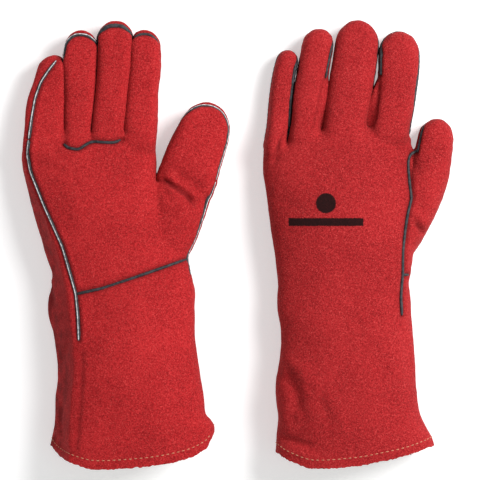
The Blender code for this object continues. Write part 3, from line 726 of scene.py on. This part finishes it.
def distance_to(points, routes):
    """Each point's distance to the nearest place of the routes, and that place's index."""
    places = np.concatenate(routes)
    tree = KDTree(len(places))
    for k, place in enumerate(places):
        tree.insert(place, k)
    tree.balance()
    found = [tree.find(p) for p in points]
    return np.array([f[2] for f in found]), np.array([f[1] for f in found])


def noise_at(points, size, seed):
    offset = Vector((seed * 17.3, seed * 5.1, seed * 9.7))
    return np.array([noise.noise(Vector(p) / size + offset) for p in points.tolist()])


def hump(distance, width, centre=0.0):
    return np.exp(-(((distance - centre) / width) ** 2))


def press_relief(glove, surface, routes):
    """Moves the surface along its normals, and returns each point's painted shade, from 0 to 1."""
    tree, normals, points = surface.tree(), surface.normals(), surface.points
    near, index = distance_to(points, [route for route, _ in routes.values()])
    force = np.concatenate([np.full(len(route), CUFF_FOLD if name == "cuff_fold" else 1.0)
                            for name, (route, _) in routes.items()])[index]
    move = force * (LIP * hump(near, 2.0, 4.2) - GROOVE * hump(near, 1.9))
    # Painted shade, darkest in each seam's groove
    shade = force * hump(near, 2.6)
    move += PUCKER * np.sin(index * SEAM_STEP * 2 * math.pi / PUCKER_PITCH) * hump(near, 2.4, 3.2)
    for line, depth, width in RIGHT_FOLDS if glove["palm_up"] else LEFT_FOLDS:
        route = [p for p, _ in pressed(tree, line)]
        away, _ = distance_to(points, [np.array(route)])
        ends = np.min([np.linalg.norm(points - end, axis=1) for end in (route[0], route[-1])], axis=0)
        fade = 0.25 + 0.75 * smoothstep(ends / 9)
        move -= depth * fade * hump(away, width)
        # Narrow deep folds get painted shade along their crease
        if depth > 1.5 and width < 3:
            shade = np.maximum(shade, 0.3 * depth * fade * hump(away, 0.7 * width))
    move = np.maximum(move, -DEEPEST)
    move += 1.3 * noise_at(points, 34, 1) + 0.34 * noise_at(points, 12, 2) + 0.16 * noise_at(points, 4, 3)
    surface.points = points + normals * move[:, None]
    ragged = 0.9 * noise_at(points, 3.1, 4) + 0.7 * noise_at(points, 1.3, 5)
    surface.points[:, 1] += np.where(surface.on_rim, ragged, 0.0)
    surface.points[:, 2] = np.maximum(surface.points[:, 2], 0.0)
    if glove["palm_up"]:
        # Painted shadow, made patchy, over the side that rolls down away from the light
        patchy_shadow = 0.55 + 1.3 * noise_at(points, 7, 6) + 0.8 * noise_at(points, 2.2, 7)
        shade = np.maximum(shade, rolled_share(glove, points) ** 0.5 * patchy_shadow)
    return np.clip(shade, 0, 1)


def rolled_share(glove, points):
    """From 0 at the little-finger side's seam to 1 at the glove's edge, up from the table."""
    x, y, z = points.T
    little = edges_at(glove, y)[0]
    start = curve(glove["little_seam"], y) - 6.5 + 5 * smoothstep((y + 20) / 50)
    share = np.clip((start - x) / np.maximum(start - little, 1), 0, 1) * smoothstep((74 - y) / 60)
    return share * smoothstep((z - 5) / 8)


def slope_little_side(glove, points):
    """On the palm-up glove the back leather rolls over the little-finger side, so that side slopes."""
    points = points.copy()
    points[:, 2] *= 1 - ROLL_DROP * rolled_share(glove, points) ** 1.1
    return points


# Splitting the surface into pieces


def add_mesh(name, points, faces, material, normals=None):
    mesh = bpy.data.meshes.new(name)
    mesh.from_pydata(((np.asarray(points) - PAIR_CENTRE) * MM).tolist(), [], [tuple(f) for f in faces])
    mesh.materials.append(material)
    mesh.shade_smooth()
    if normals is not None:
        corners = np.zeros(len(mesh.loops), int)
        mesh.loops.foreach_get("vertex_index", corners)
        mesh.normals_split_custom_set(normals[corners].tolist())
    thing = bpy.data.objects.new(name, mesh)
    bpy.context.scene.collection.objects.link(thing)
    return thing


def sheet_piece(name, surface, chosen, normals, outer, inner, material, shade=None):
    """The chosen faces as a closed sheet between two depths under the surface."""
    faces = [surface.faces[k] for k in np.flatnonzero(chosen)]
    used = np.unique(np.concatenate([np.array(f) for f in faces]))
    index = np.full(len(surface.points), -1)
    index[used] = np.arange(len(used))
    count, own, base, room = len(used), normals[used], surface.points[used], surface.room[used][:, None]
    points = np.concatenate([base - own * np.minimum(depth, share * room)
                             for depth, share in ((outer, 0.3), (inner, 0.42))])
    made, rim = [], {}
    for face in faces:
        loop = [int(index[k]) for k in face]
        made += [tuple(loop), tuple(k + count for k in reversed(loop))]
        for a, b in zip(loop, loop[1:] + loop[:1]):
            if not rim.pop((b, a), False):
                rim[(a, b)] = True
    made += [(b, a, a + count, b + count) for a, b in rim]
    thing = add_mesh(name, points, made, material, np.concatenate([own, np.zeros_like(own)]))
    if shade is not None:
        layer = thing.data.attributes.new("painted_shade", "FLOAT", "POINT")
        layer.data.foreach_set("value", np.tile(shade[used], 2).astype(np.float32))
    return thing


def piece_faces(glove, surface, labels):
    """The faces of each leather piece, as a dict of name to mask."""
    x, y, z = surface.centres().T
    thumb = edges_at(glove, y)[1]
    seams = [curve(glove[key], y) for key in ("little_seam", "thumb_seam")]
    above, below = seams if glove["palm_up"] else seams[::-1]
    back = x < np.where(z > 0.5 * curve(HAND_THICKNESS, y), above, below)
    hand = labels == -1
    over_wrist = y > curve(glove["wrist"], across_at(glove, x, y))
    heel = hand & over_wrist & (x > thumb + 0.5) & (y < 82) & ~(back & (x < thumb + 2))
    pieces = {"back_panel": hand & back & ~heel, "thumb_heel": heel,
              "palm_panel": hand & ~back & over_wrist & ~heel,
              "cuff_panel": hand & ~back & ~over_wrist & ~heel}
    for name in DIGITS:
        pieces.update(digit_faces(glove, name, labels == DIGITS.index(name), x, y, z))
    return pieces


def digit_faces(glove, name, own, x, y, z):
    """One digit's front and back, and its part of the fourchettes beside it."""
    digit = glove["digits"][name]
    s, length = distance_along(digit, y)
    s = np.clip(s, 0, length)
    centre, ahead = line_at(digit["line"], s)
    offset = (x - centre[:, 0]) * ahead[:, 1] - (y - centre[:, 1]) * ahead[:, 0]
    height = z / (digit["thick"] * (1 - 0.06 * s / length))
    left, tip, right = SEAM_HEIGHTS[glove["name"]][name]
    side = np.where(offset < 0, left, right)
    near_tip = smoothstep((s - length + digit_radius(digit) * 1.2) / digit_radius(digit))
    upper = height > side + (tip - side) * near_tip
    if glove["palm_up"] and name == "pinky":
        upper = np.where(offset < 0, x > curve(PINKY_SEAM, y), upper)
    half = curve(digit["half"], s / length)
    k = DIGITS.index(name)
    strips = {}
    if 0 < k < 4:
        strips[f"{FINGERS[k - 1]}_{name}_fourchette"] = offset < -0.72 * half
    if k < 3:
        strips[f"{name}_{FINGERS[k + 1]}_fourchette"] = offset > 0.72 * half
    level = own & (s < length - 38) & (height > 0.24) & (height < 0.78)
    pieces = {f"{label}:{name}": level & beside for label, beside in strips.items()}
    taken = np.any([np.zeros_like(own), *pieces.values()], axis=0)
    front = upper if glove["palm_up"] else ~upper
    return pieces | {f"{name}_front": own & front & ~taken, f"{name}_back": own & ~front & ~taken}



def swept(path, side, up, radii, around, wide, tall):
    """Points and faces of a cord along a path. side and up span its section."""
    a = circle(around)[:, None]
    return tube([p + (s * np.cos(a) * wide + u * np.sin(a) * tall) * r
                 for p, s, u, r in zip(path, side, up, radii)])


def pipe(name, route, radius, material, sink):
    """A piping cord along a route of (points, normals), sunk into its seam."""
    points, normals = route
    ahead = unit(np.gradient(points, axis=0))
    side = unit(np.cross(ahead, normals))
    out = np.cross(side, ahead)
    k = np.arange(len(points))
    end = np.minimum(k, len(points) - 1 - k)
    radii = radius * (0.55 + 0.45 * np.minimum(1.0, end / 2)) * (1 + 0.06 * np.sin(k * 1.9))
    return add_mesh(name, *swept(points - out * sink, side, out, radii, 10, 1.0, 0.9), material)


def hem_route(glove, tree):
    """The way of the hem's stitches round the cuff, as (points, normals)."""
    found = []
    for turn in np.arange(0, 2 * math.pi, 0.004):
        across = float(signed_power(np.cos(turn), 2 / SECTION_POWER))
        for _ in range(7):  # each round comes nearer to where the ray meets the hem's own curve
            y = float(curve(glove["hem"], across)) + STITCH_ABOVE_HEM
            little, thumb = (float(edge) for edge in edges_at(glove, y))
            beside, up = math.cos(turn) * (thumb - little), math.sin(turn)
            start = ((little + thumb) / 2 + beside * 0.3, y, 12.0 + 12 * up)
            way = Vector((beside * 0.2, 0, up * 25)).normalized()
            hit = hits(tree, start, way, 90)
            if not hit:
                break
            across = (across + float(across_at(glove, hit[0][0][0], y))) / 2
        found += hit
    return smooth_route(found, 3)


def hem_stitches(glove, tree, material):
    """Stitches round the cuff, above its cut edge, as one piece of thread."""
    points, normals = hem_route(glove, tree)
    stops = stops_of(points)
    rise = np.sin(np.linspace(0, math.pi, 7))
    all_points, all_faces, count = [], [], 0
    for start in np.arange(0, stops[-1] - STITCH, STITCH_PITCH):
        places = start + np.linspace(0, STITCH, 7)
        up = interpolated(normals, stops, places)
        path = interpolated(points, stops, places) + up * (0.55 * rise[:, None] - 0.25)
        side = np.cross(unit(np.gradient(path, axis=0)), up)
        own, faces = swept(path, side, up, 0.2 + 0.11 * rise, 7, 1.15, 0.8)
        all_points.append(own)
        all_faces += [tuple(j + count for j in face) for face in faces]
        count += len(own)
    return add_mesh(f"{glove['name']}_hem_stitching", np.concatenate(all_points), all_faces, material)


def digit_lining(glove, name, material):
    """A fleece finger inside the leather, closed at its tip, as a double-walled tube."""
    digit = glove["digits"][name]
    length = stops_of(digit["line"])[-1]
    t, up = section(28, 2 / 2.4)
    walls = []
    for inset in FLEECE_INSETS:
        radius = digit_radius(digit) - inset
        end = length - inset - radius
        rings = []
        for s in stations(-6, end, radius, 14, 7, 82):
            centre, ahead = line_at(digit["line"], s)
            rounded = rounding((s - end) / radius)
            share = np.clip(s / length, 0, 1)
            half = (curve(digit["half"], share) - inset) * rounded
            height = (digit["thick"] / 2 * (1 - 0.12 * share) - inset) * (0.3 + 0.7 * rounded)
            rings.append(ring(centre, ahead, t * half, digit["thick"] / 2 + up * height))
        walls.append(np.array(rings))
    return double_wall(f"{glove['name']}_{name}_fleece", walls, material)


def double_wall(name, walls, material):
    """Two tubes closed at their far end and joined at their near end."""
    outer, inner = walls
    rows, around = outer.shape[:2]
    points = np.concatenate([outer.reshape(-1, 3), inner.reshape(-1, 3), outer[-1].mean(0)[None],
                             inner[-1].mean(0)[None]])
    half, end = rows * around, (rows - 1) * around
    faces = [quad[::-1] for quad in wall(rows, around)] + wall(rows, around, half)
    for j in range(around):
        k = (j + 1) % around
        faces += [(j, k, k + half, j + half), (end + k, end + j, 2 * half),
                  (end + j + half, end + k + half, 2 * half + 1)]
    thing = add_mesh(name, points, faces, material)
    bm = bmesh.new()
    bm.from_mesh(thing.data)
    bmesh.ops.recalc_face_normals(bm, faces=bm.faces)
    bm.to_mesh(thing.data)
    bm.free()
    return thing


# Materials


class Nodes:
    """A new material and short calls to build its nodes."""

    def __init__(self, name):
        self.material = bpy.data.materials.new(name)
        self.material.use_nodes = True
        self.nodes, self.links = self.material.node_tree.nodes, self.material.node_tree.links
        self.shader = self.nodes["Principled BSDF"]
        self.coords = self.nodes.new("ShaderNodeTexCoord").outputs["Object"]

    def set(self, **values):
        for key, value in values.items():
            self.shader.inputs[key.replace("_", " ")].default_value = value

    def feed(self, socket, value):
        """Links a socket to another, or sets it to a number, a list of numbers or, as a tuple, a colour."""
        if isinstance(value, (int, float, list)):
            socket.default_value = value
        elif isinstance(value, tuple):
            socket.default_value = (*value, 1)
        else:
            self.links.new(value, socket)

    def add(self, kind, output, inputs, **settings):
        """The output of a new node with these settings and inputs."""
        node = self.nodes.new(f"ShaderNode{kind}")
        for key, value in settings.items():
            setattr(node, key, value)
        for key, value in inputs.items():
            self.feed(node.inputs[key], value)
        return node.outputs[output]

    def noise(self, scale, detail=2.0, roughness=0.5, stretch=None):
        source = self.coords
        if stretch:
            source = self.add("Mapping", "Vector", {"Vector": source, "Scale": stretch})
        return self.add("TexNoise", "Fac", {"Vector": source, "Scale": scale, "Detail": detail,
                                            "Roughness": roughness})

    def math(self, operation, *values):
        return self.add("Math", 0, dict(enumerate(values)), operation=operation)

    def ramp(self, factor, *stops):
        node = self.nodes.new("ShaderNodeValToRGB")
        points = node.color_ramp.elements
        for point, (place, colour) in zip(points, (stops[0], stops[-1])):
            point.position, point.color = place, (*colour, 1)
        for place, colour in stops[1:-1]:
            points.new(place).color = (*colour, 1)
        self.links.new(factor, node.inputs["Fac"])
        return node.outputs["Color"]

    def range(self, value, low, high, to_low, to_high):
        return self.add("MapRange", "Result", {"Value": value, "From Min": low, "From Max": high,
                                               "To Min": to_low, "To Max": to_high})

    def mix(self, factor, a, b):
        return self.add("Mix", 2, {0: factor, 6: a, 7: b}, data_type="RGBA")

    def bump(self, height, strength, distance, before=None):
        inputs = {"Height": height, "Strength": strength, "Distance": distance}
        return self.add("Bump", "Normal", inputs if before is None else inputs | {"Normal": before})

    def finish(self, colour, roughness=None, normal=None):
        for key, value in (("Base Color", colour), ("Roughness", roughness), ("Normal", normal)):
            if value is not None:
                self.links.new(value, self.shader.inputs[key])
        return self.material


LEATHER_TONES = ((0.28, 0.008, 0.010), (0.42, 0.013, 0.016), (0.54, 0.022, 0.025))
LEATHER_FIBRE = (0.74, 0.10, 0.09)
# The dark of the grain's pits, and also the tone that the painted shade darkens towards
LEATHER_PIT_AND_SHADE = (0.13, 0.006, 0.007)
# The plain stamp on the back of the left glove, in metres: a dot (centre, radius) over a bar (centre and
# half sizes)
DOT = (0.0683, 0.0318, 0.0078)
BAR = (0.0683, 0.0172, 0.0290, 0.0031)
INK = (0.004, 0.003, 0.003)


def leather_material(name, tone_scale, printed=False):
    """Brushed split leather: mottled, with pale fibres, dark pits and painted shade. The second argument
    scales its red.
    """
    n = Nodes(name)
    dark, mid, light = ((c[0] * tone_scale, c[1] * tone_scale ** 0.4, c[2] * tone_scale ** 0.4) for c in LEATHER_TONES)
    patches, mottle = n.noise(22, 3, 0.55), n.noise(680, 4, 0.75)
    fibre = n.noise(1150, 3, 0.8)
    tone = n.math("ADD", n.math("MULTIPLY", patches, 0.22), n.math("MULTIPLY", mottle, 0.78))
    colour = n.ramp(tone, (0.4, dark), (0.5, mid), (0.6, light))
    colour = n.mix(n.range(fibre, 0.55, 0.7, 0.0, 0.7), colour, LEATHER_FIBRE)
    colour = n.mix(n.range(fibre, 0.46, 0.33, 0.0, 0.75), colour, LEATHER_PIT_AND_SHADE)
    # Painted shade from the point attribute, darkest in seams, folds and over the rolled side
    seam = n.add("Attribute", "Fac", {}, attribute_name="painted_shade")
    colour = n.mix(n.math("MULTIPLY", seam, 0.72), colour, LEATHER_PIT_AND_SHADE)
    if printed:
        colour = n.mix(ink_mask(n), colour, INK)
    roughness = n.range(mottle, 0.3, 0.7, 0.98, 0.84)
    normal = n.bump(mottle, 0.5, 0.0012)
    normal = n.bump(fibre, 0.6, 0.0006, normal)
    n.set(Sheen_Weight=0.06, Sheen_Roughness=0.45, Sheen_Tint=(1.0, 0.35, 0.32, 1.0))
    n.set(Specular_IOR_Level=0.12)
    return n.finish(colour, roughness, normal)


def ink_mask(n):
    """1 where the stamp's ink is: on the upper face, within the dot or the bar."""
    split = n.nodes.new("ShaderNodeSeparateXYZ")
    n.links.new(n.coords, split.inputs[0])
    x, y, z = split.outputs
    (dot_x, dot_y, radius), (bar_x, bar_y, half_width, half_height) = DOT, BAR

    def off(value, centre):
        return n.math("ABSOLUTE", n.math("SUBTRACT", value, centre))

    squares = (n.math("POWER", off(value, centre), 2.0) for value, centre in ((x, dot_x), (y, dot_y)))
    dot = n.math("SUBTRACT", n.math("SQRT", n.math("ADD", *squares)), radius)
    bar = n.math("MAXIMUM", n.math("SUBTRACT", off(x, bar_x), half_width),
                 n.math("SUBTRACT", off(y, bar_y), half_height))
    rough = n.math("MULTIPLY", n.math("SUBTRACT", n.noise(1500, 2), 0.5), 0.0016)
    near = n.math("ADD", n.math("MINIMUM", dot, bar), rough)
    return n.math("MULTIPLY", n.range(near, 0.0003, -0.0003, 0.0, 0.96), n.math("GREATER_THAN", z, 0.02))


def welt_material(name, dark, light):
    n = Nodes(name)
    streak, fine = n.noise(420, 3, 0.6), n.noise(1100, 3)
    colour = n.ramp(streak, (0.38, dark), (0.62, light))
    colour = n.mix(n.range(fine, 0.4, 0.7, 0.0, 0.35), colour, tuple(c * 1.5 for c in light))
    normal = n.bump(fine, 0.4, 0.0004)
    n.set(Specular_IOR_Level=0.3)
    return n.finish(colour, n.range(fine, 0.3, 0.7, 0.5, 0.75), normal)


def thread_material():
    n = Nodes("tan_thread")
    ply = n.noise(700, 2, 0.5, [1.0, 3.0, 1.0])
    colour = n.ramp(ply, (0.35, (0.42, 0.12, 0.06)), (0.65, (0.62, 0.26, 0.14)))
    n.set(Sheen_Weight=0.2)
    return n.finish(colour, n.range(ply, 0.3, 0.7, 0.7, 0.9), n.bump(ply, 0.5, 0.0003))


def canvas_material():
    n = Nodes("lining_canvas")
    inputs = {"Vector": n.coords, "Scale": 260, "Distortion": 0.6}
    weave = n.math("MAXIMUM", *(n.add("TexWave", "Fac", inputs, bands_direction=way) for way in ("X", "Y")))
    slub = n.noise(300, 3)
    colour = n.ramp(n.math("MULTIPLY", weave, slub), (0.15, (0.45, 0.41, 0.33)), (0.6, (0.72, 0.68, 0.58)))
    n.set(Sheen_Weight=0.1)
    return n.finish(colour, n.range(slub, 0.3, 0.7, 0.85, 0.98), n.bump(weave, 0.5, 0.0006))


def fleece_material():
    n = Nodes("lining_fleece")
    tuft, fine = n.noise(240, 4, 0.7), n.noise(1100, 2)
    colour = n.ramp(tuft, (0.35, (0.62, 0.58, 0.50)), (0.65, (0.86, 0.83, 0.76)))
    normal = n.bump(fine, 0.5, 0.0006, n.bump(tuft, 0.8, 0.0025))
    n.set(Sheen_Weight=0.4, Sheen_Roughness=0.6)
    return n.finish(colour, n.range(tuft, 0.3, 0.7, 0.9, 1.0), normal)


# Putting a glove together

MATERIALS = {
    "right": leather_material("split_leather_right", 0.88),
    "left": leather_material("split_leather_left", 0.75),
    "printed": leather_material("split_leather_printed", 0.75, printed=True),
    "welt": welt_material("piping", (0.009, 0.009, 0.011), (0.040, 0.040, 0.046)),
    # A pale copy of the piping, painted highlight along a piping's crest
    "highlight_welt": welt_material("piping_painted_highlight", (0.16, 0.16, 0.17), (0.66, 0.66, 0.67)),
    "thread": thread_material(),
    "canvas": canvas_material(),
    "fleece": fleece_material(),
}


def attach(thing, glove, digit=None, nodes=()):
    """Rides on the glove, or, for a digit's piece, is baked in place; hides the CAD nodes it stands for."""
    body = f"{glove['name']}_glove"
    if digit is None:
        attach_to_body(thing, body)
    else:
        place, ahead = digit_root(glove, digit)
        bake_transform(thing)
    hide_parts(*(f"{glove['name']}_{node}" for node in nodes))


def build_glove(glove):
    """All the visible pieces of one glove."""
    side = glove["name"]
    points, faces, labels = base_surface(glove)
    surface = Surface(points, faces)
    surface.smooth(5, (0.55, -0.57))
    if glove["palm_up"]:
        surface.points = slope_little_side(glove, surface.points)
    surface.smooth(16, (0.5,), near_roots(glove, surface.points)[:, None])
    if not glove["palm_up"]:
        owner = np.full(len(surface.points), -1)
        for k in range(4):
            owner[surface.quads[:, k]] = np.maximum(owner[surface.quads[:, k]], labels)
        surface.points = show_fourchettes(glove, surface.points, owner)
    routes = seam_routes(glove, surface.tree())
    shade = press_relief(glove, surface, routes)
    normals = surface.normals()
    surface.measure_room(normals)
    for label, chosen in piece_faces(glove, surface, labels).items():
        if not chosen.any():
            continue
        node, _, digit = label.partition(":")
        name = f"{side}_{node}_{digit}_side" if digit else f"{side}_{node}_leather"
        first = node.split("_")[0]
        if not digit and first in DIGITS and node != "thumb_heel":
            digit = first
        material = MATERIALS["printed" if f"{side}_{node}" == "left_back_panel" else side]
        thing = sheet_piece(name, surface, chosen, normals, 0.0, LEATHER, material, shade)
        attach(thing, glove, digit or None, [node])
    build_welts(glove, routes)
    build_linings(glove, surface, labels, normals)
    stitches = hem_stitches(glove, surface.tree(), MATERIALS["thread"])
    attach(stitches, glove, None, ["hem_thread"])


def show_fourchettes(glove, points, labels_of_points):
    """On the left glove two fourchettes bulge out beside the backs of their fingers."""
    points = points.copy()
    x, y, z = points.T.copy()
    for name, side, low, high, reach in (("ring", 1, 86, 134, 4.6), ("index", -1, 86, 132, 6.4)):
        digit = glove["digits"][name]
        s, length = distance_along(digit, y)
        s = np.clip(s, 0, length)
        centre, _ = line_at(digit["line"], s)
        beside = smoothstep((side * (x - centre[:, 0]) / curve(digit["half"], s / length) - 0.35) / 0.5)
        below = smoothstep((0.86 - z / digit["thick"]) / 0.16)
        along = smoothstep((y - low) / 5) * smoothstep((high - y) / 26) ** 0.7
        mine = labels_of_points == DIGITS.index(name)
        points[:, 0] += np.where(mine, side * reach * beside * below * along, 0.0)
    return points


def near_roots(glove, points):
    """1 where the fingers and the thumb leave the hand, falling to 0 away from there."""
    x, y, _ = points.T
    weight = np.zeros(len(points))
    for name in FINGERS:
        place, _ = digit_root(glove, name)
        half = float(curve(glove["digits"][name]["half"], 0)) + 4
        near = smoothstep((half + 5 - np.abs(x - place[0])) / 5)
        weight = np.maximum(weight, near * smoothstep(1.6 - np.abs(y - place[1] + 6) / 15))
    _, thumb = edges_at(glove, y)
    wrist = float(curve(glove["wrist"], 1.0))
    beside = smoothstep(1.5 - np.abs(x - thumb) / 9) * ((y > wrist - 6) & (y < 60))
    return np.maximum(weight, beside)


def build_welts(glove, routes):
    side = glove["name"]
    for name, route in routes.items():
        if name == "cuff_fold":
            continue
        digit = name if name in DIGITS else None
        node = "wrist_welt" if name == "wrist_below" else f"{name}_welt"
        radius, sink = THICK_PIPE if (side, name) in THICK_PIPES else PIPE, 0.6
        # On the palm-up glove these pipings carry a pale cord as painted highlight on their crest; the dark
        # piping round it is partly the piping's colour and partly painted shadow beside it
        if glove["palm_up"] and name in HIGHLIGHT_CORDS:
            radius, sink = CORDED_PIPE, 0.9
            cord = pipe(f"{side}_{name}_cord", route, CORD, MATERIALS["highlight_welt"], -0.2)
            attach(cord, glove, digit, [node])
        thing = pipe(f"{side}_{name}_piping", route, radius, MATERIALS["welt"], sink)
        attach(thing, glove, digit, [node])


def build_linings(glove, surface, labels, normals):
    y = surface.centres()[:, 1]
    hand = (labels == -1) & ~surface.on_rim[surface.quads].any(1)  # a lining ends above the cut edge
    depth = LEATHER + LINING_GAP
    for name, place, thick, node, slot in (
        ("cuff_canvas", y < LINING_JOIN, CANVAS, "cuff_lining", "canvas"),
        ("hand_fleece", y >= LINING_JOIN, FLEECE, "fleece_lining", "fleece"),
    ):
        thing = sheet_piece(f"{glove['name']}_{name}", surface, hand & place, normals,
                            depth, depth + thick, MATERIALS[slot])
        attach(thing, glove, None, [node])
    for name in DIGITS:
        attach(digit_lining(glove, name, MATERIALS["fleece"]), glove, name, ["fleece_lining"])


build_glove(RIGHT)
build_glove(LEFT)


# Floor, light and camera

FLOOR_Z = -0.0006  # just under the gloves

def floor_material():
    """Pale paper, a little bright of itself so that the shadows stay soft."""
    n = Nodes("floor_white")
    tint = n.ramp(n.noise(8, 2), (0.3, (0.69, 0.69, 0.69)), (0.7, (0.70, 0.70, 0.70)))
    n.set(Roughness=0.9, Specular_IOR_Level=0.1, Emission_Color=(1, 1, 1, 1), Emission_Strength=0.42)
    return n.finish(tint)


def add_floor():
    half = 2.5
    mesh = bpy.data.meshes.new("floor")
    corners = ((-half, -half), (half, -half), (half, half), (-half, half))
    mesh.from_pydata([(x, y, FLOOR_Z) for x, y in corners], [], [(0, 1, 2, 3)])
    mesh.materials.append(floor_material())
    floor = bpy.data.objects.new("floor", mesh)
    bpy.context.scene.collection.objects.link(floor)


def add_area(name, place, size, power):
    """A square light that shines at the middle of the floor."""
    light = bpy.data.lights.new(name, "AREA")
    light.energy, light.size = power, size
    thing = bpy.data.objects.new(name, light)
    thing.location = place
    thing.rotation_euler = (-Vector(place)).to_track_quat("-Z", "Y").to_euler()
    bpy.context.scene.collection.objects.link(thing)


CAMERA_LENS = 300.0
CAMERA_WIDTH = 0.3752  # of what the picture shows, at CAMERA_HEIGHT above the floor
CAMERA_HEIGHT = 0.018
CAMERA_CENTRE = (0.00166, 0.00329)

add_floor()
add_area("key", (0.95, 0.5, 1.15), 0.7, 33.0)
add_area("fill", (-0.5, -0.7, 1.5), 1.2, 3.0)
world = bpy.data.worlds.new("studio")
world.use_nodes = True
world.node_tree.nodes["Background"].inputs["Color"].default_value = (1, 1, 1, 1)
world.node_tree.nodes["Background"].inputs["Strength"].default_value = 0.4
bpy.context.scene.world = world
bpy.context.scene.view_settings.view_transform = "Standard"

camera_data = bpy.data.cameras.new("camera")
camera_data.lens = CAMERA_LENS
camera_data.clip_end = 50.0
camera = bpy.data.objects.new("camera", camera_data)
distance = CAMERA_WIDTH * CAMERA_LENS / camera_data.sensor_width
camera.location = (*CAMERA_CENTRE, CAMERA_HEIGHT + distance)
bpy.context.scene.collection.objects.link(camera)
bpy.context.scene.camera = camera
